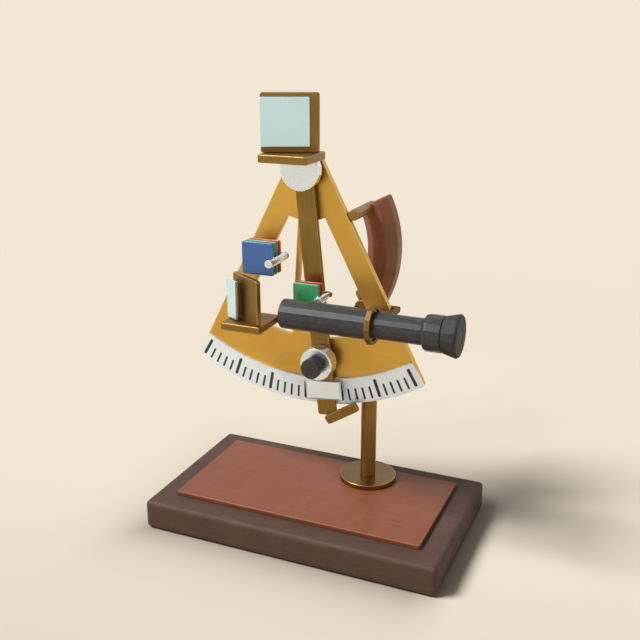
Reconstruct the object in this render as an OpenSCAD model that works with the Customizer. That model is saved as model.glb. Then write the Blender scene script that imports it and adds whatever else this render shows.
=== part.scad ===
// Sextant on its display stand, in millimetres.
// +Z is up, X runs along the telescope toward the eye, and -Y faces the reader of the scale.
// The origin is the middle of the stand's underside.

/* [Stand] */
// Length of the wooden plinth
plinth_l = 260; // [200:1:320]
// Depth of the wooden plinth
plinth_w = 150; // [120:1:200]
// Thickness of the wooden plinth
plinth_t = 25.6; // [18:0.1:40]
// Radius of the plinth's rounded edges
plinth_r = 4.5; // [1:0.5:8]
// Thickness of the felt let into the plinth's underside
felt_t = 1.6; // [1:0.1:3]
// How far the felt stands out of the wood
felt_proud = 0.4; // [0.2:0.1:0.8]
// Length of the raised panel
panel_l = 220; // [160:1:230]
// Depth of the raised panel
panel_w = 110; // [80:1:120]
// Height of the raised panel above the plinth
panel_t = 4; // [2:0.5:8]
// Diameter of the column's round foot
foot_d = 50; // [36:1:60]
// Thickness of the column's round foot
foot_t = 4.5; // [3:0.5:8]
// Diameter of the column
column_d = 13.5; // [10:0.5:20]
// Height of the column's shoulder above the table
column_top = 112; // [100:1:120]
// Distance of the column to the right of the plinth's middle
column_x = 34; // [20:1:45]

/* [Frame] */
// Height of the index arm's pivot above the table
pivot_z = 305; // [295:1:320]
// Distance of the pivot to the left of the plinth's middle
pivot_left = 20; // [10:1:30]
// Place of the frame's front face behind the plinth's middle
frame_y = 22; // [18:0.5:26]
// Thickness of the frame's plate
frame_t = 5.5; // [4:0.5:8]
// Angle of each limb from the vertical
limb_angle = 27; // [26:0.5:29]
// Distance from the pivot to the outer edge of a limb
limb_outer = 16; // [14:0.5:18]
// Width of a limb
limb_w = 19.1; // [14:0.1:22]
// Radius of the web between the limbs at the hub
web_r = 43.5; // [36:0.5:50]
// Inner radius of the arc
arc_inner = 145.5; // [140:0.5:148]
// Outer radius of the arc
arc_outer = 203.8; // [200:0.1:206]
// Width of each slim strut in the middle
strut_w = 3.7; // [3:0.1:6]
// Lean of each slim strut
strut_lean = 3.6; // [2:0.1:5]

/* [Scale and drive] */
// Thickness of the scale plate
scale_t = 2.2; // [2:0.1:3]
// Gear module of the rack and its wheels
gear_module = 0.6; // [0.6:0.1:0.6]
// Teeth that a full ring of the rack would have
rack_teeth = 604; // [604:1:604]
// Teeth of the drive pinion
pinion_teeth = 20; // [20:1:20]
// Teeth of the wheel on the drum's shaft
wheel_teeth = 22; // [22:1:22]
// Thickness of the wheels
wheel_t = 1.8; // [1.5:0.1:2]
// Play between meshed teeth
backlash = 0.16; // [0.1:0.01:0.2]
// Half of the scale's span, which reads twice as much
scale_half_angle = 30; // [30:1:30]
// Small divisions between two long lines
minor_steps = 5; // [5:1:5]
// Angle between two long lines
major_step = 10; // [10:1:10]

/* [Index arm] */
// Angle of the index arm to the right of the vertical
arm_angle = 6; // [6:1:6]
// Width of the index arm
arm_w = 16.8; // [13:0.1:18]
// Thickness of the index arm
arm_t = 3.6; // [3:0.1:4]
// Length of the index arm below the pivot
arm_reach = 213; // [211:0.5:215]
// Diameter of the silver cap over the pivot
cap_d = 35; // [30:0.5:36]
// Thickness of the silver cap
cap_t = 6.4; // [5:0.1:8]
// Diameter of the drum
drum_d = 29.2; // [24:0.2:29.4]
// Length of the drum
drum_l = 12.5; // [10:0.5:13]
// Diameter of the knob on the drum
knob_d = 17.4; // [14:0.2:20]
// Length of the knob
knob_l = 7; // [5:0.5:8]
// How far the knob stands off the drum
knob_off = 5; // [3:0.5:5]
// Width of the vernier plate
vernier_w = 34; // [26:0.5:36]
// Height of the vernier plate
vernier_h = 16.5; // [12:0.5:17]

/* [Mirrors] */
// Width of the index mirror's shelf
index_shelf_w = 42; // [38:0.5:44]
// Height of the index mirror's back plate
index_back_h = 47.2; // [44:0.1:54]
// Width of the index mirror's back plate
index_back_w = 46.2; // [42:0.1:47]
// Turn of the index mirror about the vertical
index_yaw = 23.3; // [20:0.1:26]
// Width of the horizon mirror's shelf
horizon_shelf_w = 36.5; // [34:0.5:38]
// Height of the horizon mirror's back plate
horizon_back_h = 38.7; // [34:0.1:42]
// Width of the horizon mirror's back plate
horizon_back_w = 39.5; // [36:0.5:41]
// Turn of the horizon mirror about the vertical
horizon_yaw = -33; // [-35:0.5:-31]

/* [Shades] */
// Width of an index shade
index_shade_w = 28.8; // [26:0.1:31]
// Height of an index shade
index_shade_h = 27.5; // [24:0.5:30]
// Width of a horizon shade
horizon_shade_w = 23; // [20:0.5:24]
// Height of a horizon shade
horizon_shade_h = 24.8; // [22:0.1:26]
// Thickness of a shade
shade_t = 3; // [2:0.5:3]
// Distance from one shade to the next
shade_pitch = 6.4; // [6:0.1:6.4]
// Outer diameter of the shades' hinge barrels
barrel_d = 6.7; // [6:0.1:7]
// Diameter of the shades' hinge pins
hinge_pin_d = 4; // [3:0.1:4.5]

/* [Telescope] */
// Height of the telescope's axis
scope_z = 194; // [192:0.5:196]
// Diameter of the main tube
tube_d = 24.4; // [22:0.2:26]
// Outer diameter of the collar
collar_d = 31.6; // [30:0.2:36]
// Diameter of the rear tube
rear_d = 21; // [20:0.2:22]
// Diameter of the eyepiece barrel
barrel_eye_d = 29; // [26:0.5:31]
// Largest diameter of the eyecup
cup_d = 34; // [30:0.5:36]

/* [Handle] */
// Thickness of the grip
grip_d = 30; // [26:0.5:32]
// Radius of the grip's bow
grip_bow = 92; // [86:1:100]
// Diameter of the handle's posts
post_d = 9.2; // [8:0.2:10]

/* [Hidden] */
$fn = 64;

// Clearances and fasteners
running = 0.05;
screw_d = 3;
screw_head_d = 5.5;
screw_head_t = 2;
screw_grip = 3.6;

// Planes along Y, from the frame forward
pivot_x = -pivot_left;
frame_back = frame_y + frame_t;
scale_front = frame_y - scale_t;
wheel_front = frame_y - 0.3 - wheel_t;
rim_r = arc_outer - 0.4;
strut_offset = 2.75;
hub_r = limb_outer + 0.15;
arm_back = scale_front - 1;
arm_front = arm_back - arm_t;
cap_front = arm_front - cap_t;
drum_back = arm_front - 0.7;
drum_front = drum_back - drum_l;
knob_front = drum_front - knob_off - knob_l;
knob_neck_d = 9;
carrier_back = arm_front - 0.7;
carrier_t = 4;
carrier_front = carrier_back - carrier_t;

// The gear train: the rack's pitch circle, then each wheel's place on the arm
rack_r = gear_module * rack_teeth / 2;
pinion_r = gear_module * pinion_teeth / 2;
wheel_r = gear_module * wheel_teeth / 2;
pinion_reach = rack_r - pinion_r;
drum_reach = pinion_reach - pinion_r - wheel_r;
root_depth = 1.25 * gear_module;
pinion_bore = 3.1;
shaft_d = 5;

// The hub
spindle_d = 8;
bush_d = 14;
bush_collar_d = 24;
bush_tail = 3;

// The lever at the arm's foot, in the arm's own frame
lever_pin_x = 5;
lever_pin_down = arm_reach + 1.6;
lever_lug_r = 3.4;
lever_tilt = 26.3;
lever_l = 33;
lever_tail = 5.3;
lever_w = 8.2;
lever_t = 4;
lever_back = arm_front - 0.2;
lever_pin_d = 3;
lever_pin_back = arm_back + 3.1;

// Shelves, counted from the table
index_shelf_top = 320.3;
index_shelf_t = 6.4;
horizon_shelf_top = 179;
horizon_shelf_t = 6.3;
horizon_shelf_left = -78.5;
shelf_front = -24;
back_t = 3.5;
glass_t = 2.6;

// Hinge pins of the shades
shade_front = -5;
index_inset = 2.2;
horizon_inset = 1;
index_pin_x = -35.5;
index_pin_z = 232;
horizon_pin_x = 4;
horizon_pin_z = 203;
index_pin_front = -18.5;
horizon_pin_front = -10.2;

// The bridge that carries the horizon mirror in front of the arm
bridge_post_x = -86;
bridge_post_z = 195;
bridge_post_d = 6;
bridge_left = bridge_post_x - bridge_post_d / 2;
bridge_z0 = 173;
bridge_h = 6;
bridge_rise_x = 40;
bridge_flange_t = 3.5;
bridge_flange_z = 182.5;
bridge_flange_h = 9;
lug_t = 2;
lug_x = -13;
lug_w = 8;
lug_h = 5;
small_screw_d = 2;
small_head_d = 3.6;
small_head_t = 1.2;

// The telescope's stations along X
scope_y = -22;
tube_x0 = -20.4;
tube_x1 = 57;
collar_x0 = 53.9;
collar_x1 = 58.2;
rear_x1 = 97;
eye_x1 = 113.2;
cup_x1 = 126;
cup_edge = 2;
shoulder = 4;
draw_d = 18;
draw_wall = 1.5;
draw_play = 0.5;
tube_wall = 1.5;
neck_x0 = 49;
neck_x1 = 61.5;
neck_z0 = 183;
neck_z1 = 194.8;
web_z0 = 189.7;
web_h = 5.1;
web_x0 = limb_edge(web_z0) + 0.1;
scope_plate_u = 131;
scope_plate_v = 6;
scope_plate_h = 15;

// Handle
grip_y = 71;
grip_mid_x = 32.6;
grip_mid_z = 231;
grip_up = 27;
grip_down = 31.5;
upper_post_angle = grip_up - 2.6;
lower_post_angle = grip_down - 3.3;
upper_post_x = grip_mid_x - grip_bow * (1 - cos(upper_post_angle)) - 2.8;
upper_post_z = grip_mid_z + grip_bow * sin(upper_post_angle);
lower_post_x = grip_mid_x - grip_bow * (1 - cos(lower_post_angle)) + 2.3;
lower_post_z = grip_mid_z - grip_bow * sin(lower_post_angle);
upper_post_u = along_limb(upper_post_x, upper_post_z);
lower_post_u = along_limb(lower_post_x, lower_post_z);
post_back = grip_y - 3;
strap_t = 3;
lower_strap_w = 22;
lower_strap_h = 14;
column_y = frame_back + column_d / 2;

// Moves to the pivot, at the middle of the plinth's depth.
module at_pivot() translate([pivot_x, 0, pivot_z]) children();

// Turns with the index arm: the arm hangs down its own -Z.
module on_arm() at_pivot() rotate([0, -arm_angle, 0]) children();

// Stands a flat outline up facing the reader, from y = front back to y = front + t.
module upright(front, t) translate([0, front + t, 0]) rotate([90, 0, 0]) linear_extrude(t) children();

// A cylinder along Y from y = front to y = back.
module rod_y(front, back, d) translate([0, back, 0]) rotate([90, 0, 0]) cylinder(d = d, h = back - front);

// A cylinder along X from x = left to x = right.
module rod_x(left, right, d) translate([left, 0, 0]) rotate([0, 90, 0]) cylinder(d = d, h = right - left);

// A flat rectangle with round corners, its middle at the origin.
module round_rect(w, h, r) {
    square([w - 2 * r, h], center = true);
    square([w, h - 2 * r], center = true);
    for (x = [-1, 1], y = [-1, 1]) translate([x * (w / 2 - r), y * (h / 2 - r)]) circle(r);
}

// A screw driven from behind the frame: its head lies on the plane y = seat.
module rear_screw(seat, grip) {
    difference() {
        union() {
            rod_y(seat - grip, seat, screw_d - 2 * running);
            rod_y(seat, seat + screw_head_t, screw_head_d);
        }
        translate([-screw_head_d, seat + screw_head_t - 0.8, -0.4]) cube([2 * screw_head_d, 2, 0.8]);
    }
}

/* Stand */

// A block with its upright edges and its top and bottom edges rounded.
module soft_block(l, w, t, r) {
    linear_extrude(t - 2 * r) round_rect(l, w, r);
    for (z = [0, t - 2 * r]) translate([0, 0, z]) {
        for (x = [-1, 1], y = [-1, 1]) translate([x * (l / 2 - r), y * (w / 2 - r), 0]) sphere(r);
        for (y = [-1, 1]) translate([0, y * (w / 2 - r), 0]) rod_x(-l / 2 + r, l / 2 - r, 2 * r);
        for (x = [-1, 1]) translate([x * (l / 2 - r), 0, 0]) rod_y(-w / 2 + r, w / 2 - r, 2 * r);
        translate([0, 0, -r]) linear_extrude(2 * r) square([l - 2 * r, w - 2 * r], center = true);
    }
}

bolt_d = 6;
bolt_head_d = 12;
bolt_recess = 6;
bolt_head_t = 4;
bolt_grip = 22;
washer_t = 1.2;
felt_inset = 8;
bolt_hole_d = bolt_d + 0.4;
bolt_seat = felt_t + bolt_recess;
plinth_top = felt_proud + plinth_t;
panel_top = plinth_top + panel_t;

module plinth() color([0.3, 0.22, 0.18]) difference() {
    translate([0, 0, felt_proud + plinth_r]) soft_block(plinth_l, plinth_w, plinth_t, plinth_r);
    translate([0, 0, -1]) linear_extrude(felt_t + 1) felt_outline(0);
    translate([column_x, column_y, 0]) cylinder(d = bolt_hole_d, h = plinth_t + 2);
    translate([column_x, column_y, 0]) cylinder(d = bolt_head_d + 4, h = bolt_seat);
}

// The felt's outline, less a small margin.
module felt_outline(margin)
    round_rect(plinth_l - 2 * felt_inset - margin, plinth_w - 2 * felt_inset - margin, 6);

module inlay_panel() color([0.55, 0.3, 0.2]) translate([0, 0, plinth_top]) difference() {
    linear_extrude(panel_t) round_rect(panel_l, panel_w, 1.5);
    translate([column_x, column_y, -1]) cylinder(d = bolt_hole_d, h = panel_t + 2);
}

module base_felt() color([0.15, 0.25, 0.18]) difference() {
    linear_extrude(felt_t) felt_outline(0.4);
    translate([column_x, column_y, -1]) cylinder(d = bolt_head_d + 6, h = felt_t + 2);
}

module stand_foot() color([0.6, 0.45, 0.2]) translate([column_x, column_y, panel_top]) difference() {
    rotate_extrude() polygon(concat(
        [[0, 0], [foot_d / 2, 0], [foot_d / 2, foot_t - 1]],
        [for (a = [15:15:90]) [foot_d / 2 - 1 + cos(a), foot_t - 1 + sin(a)]],
        [[0, foot_t]]
    ));
    translate([0, 0, -1]) cylinder(d = bolt_hole_d, h = foot_t + 2);
}

spigot_d = 8;
spigot_h = 22;
column_foot = panel_top + foot_t;

module stand_column() color([0.4, 0.28, 0.11]) translate([column_x, column_y, column_foot]) difference() {
    union() {
        cylinder(d = column_d, h = column_top - column_foot);
        cylinder(d = spigot_d, h = column_top - column_foot + spigot_h);
    }
    translate([0, 0, -1]) cylinder(d = bolt_d, h = bolt_grip + 3);
}

module stand_bolt() color("silver") translate([column_x, column_y, 0]) {
    washer_z = bolt_seat - washer_t;
    translate([0, 0, washer_z]) cylinder(d = bolt_d - 2 * running, h = column_foot + bolt_grip - washer_z);
    translate([0, 0, washer_z]) cylinder(d = bolt_head_d + 1, h = washer_t);
    translate([0, 0, washer_z - bolt_head_t]) cylinder(d = bolt_head_d, h = bolt_head_t, $fn = 6);
}

bracket_w = 40;
bracket_h = 34;
bracket_t = 4;

module frame_bracket() color([0.6, 0.45, 0.2]) translate([column_x, 0, column_top]) difference() {
    union() {
        intersection() {
            translate([0, 0, bracket_h / 2]) upright(frame_back, bracket_t)
                round_rect(bracket_w, bracket_h, 4);
            translate([pivot_x - column_x, 0, pivot_z - column_top])
                rod_y(frame_back - 1, frame_back + bracket_t + 1, 2 * (arc_outer - 4));
        }
        translate([0, column_y, 0]) cylinder(d = column_d, h = spigot_h + 4);
        translate([-column_d / 2, frame_back, 0]) cube([column_d, column_d / 2, spigot_h + 4]);
    }
    translate([0, column_y, -1]) cylinder(d = spigot_d + 2 * running, h = spigot_h + 1.5);
    for (p = bracket_screws)
        translate([p[0] - column_x, 0, p[1] - column_top])
            rod_y(frame_back - 1, frame_back + 9, screw_d + 0.2);
}

/* Frame */

// The ground between the limbs' outer edges, which leave the hub at a tangent.
module between_limbs() {
    reach = arc_outer + 12;
    top = limb_outer * cos(limb_angle);
    rise = limb_outer * sin(limb_angle);
    foot = top + (rise + reach) * tan(limb_angle);
    polygon([[-top, rise], [top, rise], [foot, -reach], [-foot, -reach]]);
}

// A sector about the downward line, half to each side.
module sector(half) {
    reach = arc_outer * 1.2;
    polygon([[0, 0], [reach * sin(half), -reach * cos(half)], [-reach * sin(half), -reach * cos(half)]]);
}

module ring(inner, outer) difference() {
    circle(outer, $fn = 180);
    circle(inner, $fn = 180);
}

// The openings between the limbs, with the two slim struts left standing.
module frame_windows() difference() {
    ring(web_r, arc_inner);
    for (m = [0, 1]) mirror([m, 0]) rotate(limb_angle)
        translate([limb_outer - limb_w, -arc_outer]) square(2 * arc_outer);
    for (m = [0, 1]) mirror([m, 0]) rotate(strut_lean)
        translate([strut_offset - strut_w / 2, -arc_outer]) square([strut_w, arc_outer]);
}

module frame_outline() difference() {
    union() {
        circle(hub_r);
        intersection() {
            circle(rim_r, $fn = 180);
            between_limbs();
        }
    }
    frame_windows();
}

scale_screw_angles = [-27, -10, 7.5, 26];
scale_screw_r = 194;

// Places of the rear screws, as [x, z] on the frame.
bracket_screws = [
    for (x = [-1, 1], z = [10, bracket_h - 6]) [column_x + x * (bracket_w / 2 - 6), column_top + z]
];
function arc_point(a, r) = [pivot_x + r * sin(a), pivot_z - r * cos(a)];
function limb_point(u, v) = [
    pivot_x + u * sin(limb_angle) + v * cos(limb_angle),
    pivot_z - u * cos(limb_angle) + v * sin(limb_angle)
];
// How far down the right limb a place [x, z] lies.
function along_limb(x, z) = (x - pivot_x) * sin(limb_angle) - (z - pivot_z) * cos(limb_angle);
// Where the right limb's outer edge stands at a height.
function limb_edge(z) = pivot_x + (limb_outer + (pivot_z - z) * sin(limb_angle)) / cos(limb_angle);
function limb_left(u, v) = [2 * pivot_x - limb_point(u, v)[0], limb_point(u, v)[1]];
scope_screws = [for (u = [6.5, 12]) limb_point(scope_plate_u + u, scope_plate_v + 5)];
upper_screws = [for (u = [-4, 4]) limb_point(upper_post_u + u, 7)];
lower_screws = [for (u = [6, 13]) limb_point(lower_post_u + u, 1)];
shade_screws = [limb_left(81, 10), limb_left(91, 10)];
bridge_screw = [bridge_post_x, bridge_post_z];
scale_screws = [for (a = scale_screw_angles) arc_point(a, scale_screw_r)];

// Drills every listed place right through the frame.
module drill(places, d) for (p = places) translate([p[0], 0, p[1]]) rod_y(frame_y - 1, frame_back + 1, d);

module frame() color([0.76, 0.56, 0.23]) difference() {
    at_pivot() upright(frame_y, frame_t) frame_outline();
    at_pivot() rod_y(frame_y - 1, frame_back + 1, bush_d);
    drill(scale_screws, screw_d);
    drill([bridge_screw], screw_d);
    for (p = concat(bracket_screws, scope_screws, upper_screws, lower_screws))
        translate([p[0], 0, p[1]]) rod_y(frame_back - 4, frame_back + 1, screw_d);
    drill(shade_screws, screw_d);
}

// One tooth of the rack, pointing at the pivot, with its pitch line at y = -rack_r.
module rack_tooth() {
    half = PI * gear_module / 4 - backlash / 4;
    lean = tan(20);
    polygon([
        [-half - (root_depth + 0.1) * lean, -rack_r - root_depth - 0.1],
        [half + (root_depth + 0.1) * lean, -rack_r - root_depth - 0.1],
        [half - gear_module * lean, -rack_r + gear_module],
        [-half + gear_module * lean, -rack_r + gear_module]
    ]);
}

tooth_angle = 360 / rack_teeth;
rack_half = floor(31.2 / tooth_angle);
arm_step = round(arm_angle / tooth_angle);
scale_half = 31.7;
major_l = 16.3;
major_w = 2.8;
minor_l = 10;
minor_w = 2;
line_out = arc_outer - 2.6;
line_depth = 0.3;

module graduation(l, w) translate([-w / 2, -line_out]) square([w, l]);

module arc_scale() color([0.86, 0.86, 0.84]) difference() {
    at_pivot() upright(scale_front, scale_t) difference() {
        union() {
            intersection() {
                ring(rack_r + root_depth, arc_outer);
                sector(scale_half);
            }
            rotate(arm_angle) for (i = [-rack_half - arm_step:rack_half - arm_step])
                rotate(i * tooth_angle) rack_tooth();
        }
    }
    at_pivot() upright(scale_front - 1, 1 + line_depth) {
        for (a = [-scale_half_angle:major_step:scale_half_angle]) rotate(a) graduation(major_l, major_w);
        for (a = [-scale_half_angle:major_step:scale_half_angle - major_step], i = [1:minor_steps - 1])
            rotate(a + i * major_step / minor_steps) graduation(minor_l, minor_w);
    }
    for (p = scale_screws) translate([p[0], 0, p[1]]) rod_y(scale_front + 0.7, frame_y + 1, screw_d);
}

// Every screw that is driven from behind the frame.
module frame_screws() color("silver") {
    for (p = scale_screws) translate([p[0], 0, p[1]]) rear_screw(frame_back, frame_t + 1);
    for (p = bracket_screws)
        translate([p[0], 0, p[1]]) rear_screw(frame_back + bracket_t, bracket_t + screw_grip);
    for (p = scope_screws) translate([p[0], 0, p[1]]) rear_screw(frame_back + strap_t, strap_t + screw_grip);
    for (p = concat(upper_screws, lower_screws))
        translate([p[0], 0, p[1]]) rear_screw(frame_back + strap_t, strap_t + screw_grip);
    for (p = concat(shade_screws, [bridge_screw]))
        translate([p[0], 0, p[1]]) rear_screw(frame_back, frame_t + 5);
}

/* Hub */

bush_front = arm_back + 0.2;
bush_back = frame_back + bush_tail;
nut_front = bush_back + 0.2;

module pivot_bush() color([0.55, 0.4, 0.18]) at_pivot() difference() {
    union() {
        rod_y(bush_front, frame_y, bush_collar_d);
        rod_y(frame_y, bush_back, bush_d - 2 * running);
    }
    rod_y(bush_front - 1, bush_back + 1, spindle_d + 2 * running);
}

module spindle() color("silver") at_pivot() rod_y(cap_front + 3, nut_front + 8, spindle_d);

module spindle_nut() color([0.55, 0.4, 0.18]) at_pivot() difference() {
    union() {
        rod_y(nut_front, nut_front + 1.5, 20);
        upright(nut_front + 1.5, 5.5) circle(d = 15, $fn = 6);
    }
    rod_y(nut_front - 1, nut_front + 9, spindle_d + 2 * running);
}

/* Index arm */

module arm_outline() {
    circle(d = cap_d - 5);
    foot_r = 2.5;
    translate([-arm_w / 2, -arm_reach + foot_r]) square([arm_w, arm_reach - foot_r]);
    translate([-arm_w / 2 + foot_r, -arm_reach]) square([arm_w - 2 * foot_r, 2 * foot_r]);
    for (x = [-1, 1]) translate([x * (arm_w / 2 - foot_r), -arm_reach + foot_r]) circle(foot_r);
    translate([lever_pin_x, -lever_pin_down]) circle(lever_lug_r);
}

module index_arm() color([0.48, 0.35, 0.16]) on_arm() difference() {
    upright(arm_front, arm_t) arm_outline();
    rod_y(arm_front - 1, arm_back + 1, spindle_d + 2 * running);
    translate([0, 0, -drum_reach]) rod_y(arm_front - 1, arm_back + 1, shaft_d + 2 * running);
    translate([0, 0, -pinion_reach]) rod_y(arm_back - 2.6, arm_back + 1, 3);
    translate([lever_pin_x, 0, -lever_pin_down])
        rod_y(arm_front - 1, arm_back + 1, lever_pin_d + 2 * running);
    translate([spring_hook_x, 0, -spring_hook_down]) rod_y(arm_back - 1.6, arm_back + 1, spring_wire + 0.2);
}

// The cap's top is cut level where the index mirror's shelf stands on it.
module pivot_cap() color([0.85, 0.85, 0.85]) difference() {
    at_pivot() rod_y(cap_front, arm_front, cap_d);
    translate([pivot_x - 30, cap_front - 1, index_shelf_top - index_shelf_t]) cube([60, cap_t + 2, 30]);
    at_pivot() rod_y(cap_front + 3, arm_front + 1, spindle_d + 2 * running);
    at_shelf_screws() translate([0, 0, -5]) cylinder(d = 2.1, h = 6);
}

// Moves to the shelf's underside at each of its two screws.
module at_shelf_screws() for (x = [-8, 8])
    translate([pivot_x + x, (cap_front + arm_front) / 2, index_shelf_top - index_shelf_t]) children();

vernier_t = 1.5;
vernier_gap = 4.65;
vernier_mid = drum_reach + drum_d / 2 + vernier_gap + vernier_h / 2;

module vernier_plate() color([0.9, 0.9, 0.88]) on_arm() translate([0, 0, -vernier_mid])
    upright(arm_front - vernier_t, vernier_t) round_rect(vernier_w, vernier_h, 0.6);

/* Index mirror, which turns with the arm */

shelf_back = arm_front - 0.2;

module index_shelf() color([0.48, 0.35, 0.16]) difference() {
    translate([pivot_x, (shelf_front + shelf_back) / 2, index_shelf_top - index_shelf_t])
        linear_extrude(index_shelf_t) round_rect(index_shelf_w, shelf_back - shelf_front, 2);
    at_shelf_screws() {
        translate([0, 0, -1]) cylinder(d = 2.2, h = 10);
        translate([0, 0, index_shelf_t - 1.6]) cylinder(d = 4.4, h = 3);
    }
}

module shelf_screws() color("silver") at_shelf_screws() difference() {
    union() {
        translate([0, 0, -4.5]) cylinder(d = 2, h = index_shelf_t + 4);
        translate([0, 0, index_shelf_t - 1.6]) cylinder(d = 4, h = 1.4);
    }
    translate([-3, -0.3, index_shelf_t - 0.8]) cube([6, 0.6, 2]);
}

// Moves to the foot of the index mirror, with the mirror's face along -Y.
module at_index_mirror() translate([pivot_x - 1.1, -5, index_shelf_top]) rotate(index_yaw) children();

index_glass_w = 38.4;
index_glass_h = 38;
index_glass_z = 4.6;

module index_back() color([0.48, 0.35, 0.16]) at_index_mirror() translate([0, 0, index_back_h / 2])
    upright(0, back_t) round_rect(index_back_w, index_back_h, 2);

module index_glass() color([0.77, 0.86, 0.88]) at_index_mirror()
    translate([(index_glass_w - index_back_w) / 2, 0, index_glass_z + index_glass_h / 2])
        upright(-glass_t, glass_t) round_rect(index_glass_w, index_glass_h, 1);

/* Drum and gears */

// The involute of a base circle: the point reached after unwinding through t degrees.
function involute(base, t) = let (u = t * PI / 180)
    [base * (cos(t) + u * sin(t)), base * (sin(t) - u * cos(t))];
function turned(p, a) = [p[0] * cos(a) - p[1] * sin(a), p[0] * sin(a) + p[1] * cos(a)];

// A spur wheel with one tooth on +X.
module spur(teeth) {
    pitch = gear_module * teeth / 2;
    base = pitch * cos(20);
    tip = pitch + gear_module;
    root = pitch - root_depth;
    // How far the involute unwinds to reach the pitch circle and the tip
    to_pitch = tan(20) * 180 / PI;
    to_tip = sqrt(pow(tip / base, 2) - 1) * 180 / PI;
    start = base > root ? 0 : sqrt(pow(root / base, 2) - 1) * 180 / PI;
    // Half of a tooth at the base circle, less its share of the play
    half = 90 / teeth - backlash / 4 / pitch * 180 / PI + to_pitch - 20;
    flank = [for (k = [0:3]) turned(involute(base, start + (to_tip - start) * k / 3), -half)];
    circle(root + 0.02, $fn = 96);
    for (i = [0:teeth - 1]) rotate(i * 360 / teeth) polygon(concat(
        [turned([root * 0.95, 0], -half)],
        flank,
        [for (k = [3:-1:0]) [flank[k][0], -flank[k][1]]],
        [turned([root * 0.95, 0], half)]
    ));
}

// The wheel on the drum's shaft has a tooth toward the pinion.
module drum_shaft() color("silver") on_arm() translate([0, 0, -drum_reach]) {
    upright(wheel_front, wheel_t) rotate(-90) spur(wheel_teeth);
    rod_y(wheel_front - 0.6, wheel_front, 8);
    rod_y(knob_front + 2, wheel_front - 0.6, shaft_d);
}

module micrometer_drum() color([0.85, 0.85, 0.85]) on_arm() translate([0, 0, -drum_reach]) difference() {
    rod_y(drum_front, drum_back, drum_d);
    rod_y(drum_front - 1, drum_back + 1, shaft_d + 2 * running);
    rod_y(drum_front + 8, drum_back + 1, drum_d - 7);
}

module drum_knob() color([0.22, 0.22, 0.22]) on_arm() translate([0, 0, -drum_reach]) difference() {
    union() {
        rod_y(knob_front, knob_front + knob_l, knob_d);
        rod_y(knob_front, drum_front, knob_neck_d);
    }
    rod_y(knob_front + 2, drum_front + 1, shaft_d + 2 * running);
}

// The pinion has a gap toward the drum's wheel and one toward the rack.
module drive_pinion() color([0.7, 0.55, 0.3]) on_arm() translate([0, 0, -pinion_reach]) difference() {
    upright(wheel_front, wheel_t) rotate(90 + 180 / pinion_teeth) spur(pinion_teeth);
    rod_y(wheel_front - 1, wheel_front + wheel_t + 1, pinion_bore);
    rod_y(wheel_front + wheel_t - 0.9, wheel_front + wheel_t + 1, 6);
}

module pinion_stud() color("silver") on_arm() translate([0, 0, -pinion_reach]) {
    rod_y(arm_back - 2.6, wheel_front + wheel_t - 0.8, 3);
    rod_y(wheel_front + wheel_t - 0.8, wheel_front + wheel_t, 5.4);
}

/* Clamp lever */

// Moves to the lever's pin: the lever runs out along +X.
module at_lever() on_arm()
    translate([lever_pin_x, 0, -lever_pin_down]) rotate([0, -lever_tilt, 0]) children();

shoe_front = frame_y + 0.6;
shoe_back = shoe_front + 3.8;
shoe_gap = 0.2;
shoe_t = 1.8;
shoe_mid = 4.25;
shoe_half = 2.65;
stem_d = 2.4;
stem_reach = 19;
stem_depth = 2.5;
spring_wire = 0.8;
spring_hook_x = -3;
spring_hook_down = arm_reach - 0.6;
coil_d = 5.2;

module clamp_lever() color([0.48, 0.35, 0.16]) at_lever() difference() {
    translate([lever_l / 2 - lever_tail, 0, 0]) upright(lever_back - lever_t, lever_t)
        round_rect(lever_l, lever_w, 2.5);
    rod_y(lever_back - lever_t - 1, lever_back + 1, lever_pin_d);
    translate([stem_reach, 0, 0]) rod_y(lever_back - stem_depth, lever_back + 1, stem_d);
}

// The shoe runs along the rim of the frame, and its stem comes forward to the lever.
module clamp_shoe() color([0.7, 0.7, 0.7]) {
    at_pivot() upright(shoe_front, shoe_back - shoe_front) intersection() {
        ring(rim_r + shoe_gap, rim_r + shoe_gap + shoe_t);
        rotate(arm_angle + shoe_mid) sector(shoe_half);
    }
    at_lever() translate([stem_reach, 0, 0]) rod_y(lever_back - stem_depth, shoe_back, stem_d);
}

module lever_pin() color("silver") at_lever() {
    rod_y(lever_back - lever_t, lever_pin_back, lever_pin_d);
    rod_y(lever_pin_back - 0.6, lever_pin_back, 5);
}

// A coil round the pin: one leg hooks into the arm and the other bears up under the shoe's stem.
module lever_spring() color("silver") {
    at_lever() difference() {
        rod_y(arm_back + 0.1, lever_pin_back - 0.7, coil_d);
        rod_y(arm_back - 1, lever_pin_back + 1, coil_d - 2 * spring_wire);
    }
    on_arm() translate([0, arm_back + 0.6, -spring_hook_down])
        rod_x(spring_hook_x, lever_pin_x, spring_wire);
    on_arm() translate([spring_hook_x, 0, -spring_hook_down])
        rod_y(arm_back - 1.5, arm_back + 0.6 + spring_wire / 2, spring_wire);
    at_lever() translate([0, lever_pin_back - 1.2, -stem_d / 2 - spring_wire / 2 - 0.1])
        rod_x(lever_pin_d, stem_reach + 1.5, spring_wire);
}

/* Shades */

// A shade's glass, whose right edge is let into its barrel to within inset of the pin's axis.
module shade_glass(w, h, i, inset) difference() {
    translate([-inset - w / 2, 0, 0]) upright(shade_front + i * shade_pitch, shade_t) round_rect(w, h, 1.5);
    rod_y(shade_front - 20, shade_front + 30, barrel_d);
}

// The barrel that a shade turns on.
module shade_barrel(i) {
    y0 = shade_front + i * shade_pitch - 3;
    difference() {
        rod_y(y0, y0 + shade_pitch - 0.2, barrel_d);
        rod_y(y0 - 1, y0 + shade_pitch + 1, hinge_pin_d + 2 * running);
    }
}

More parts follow.
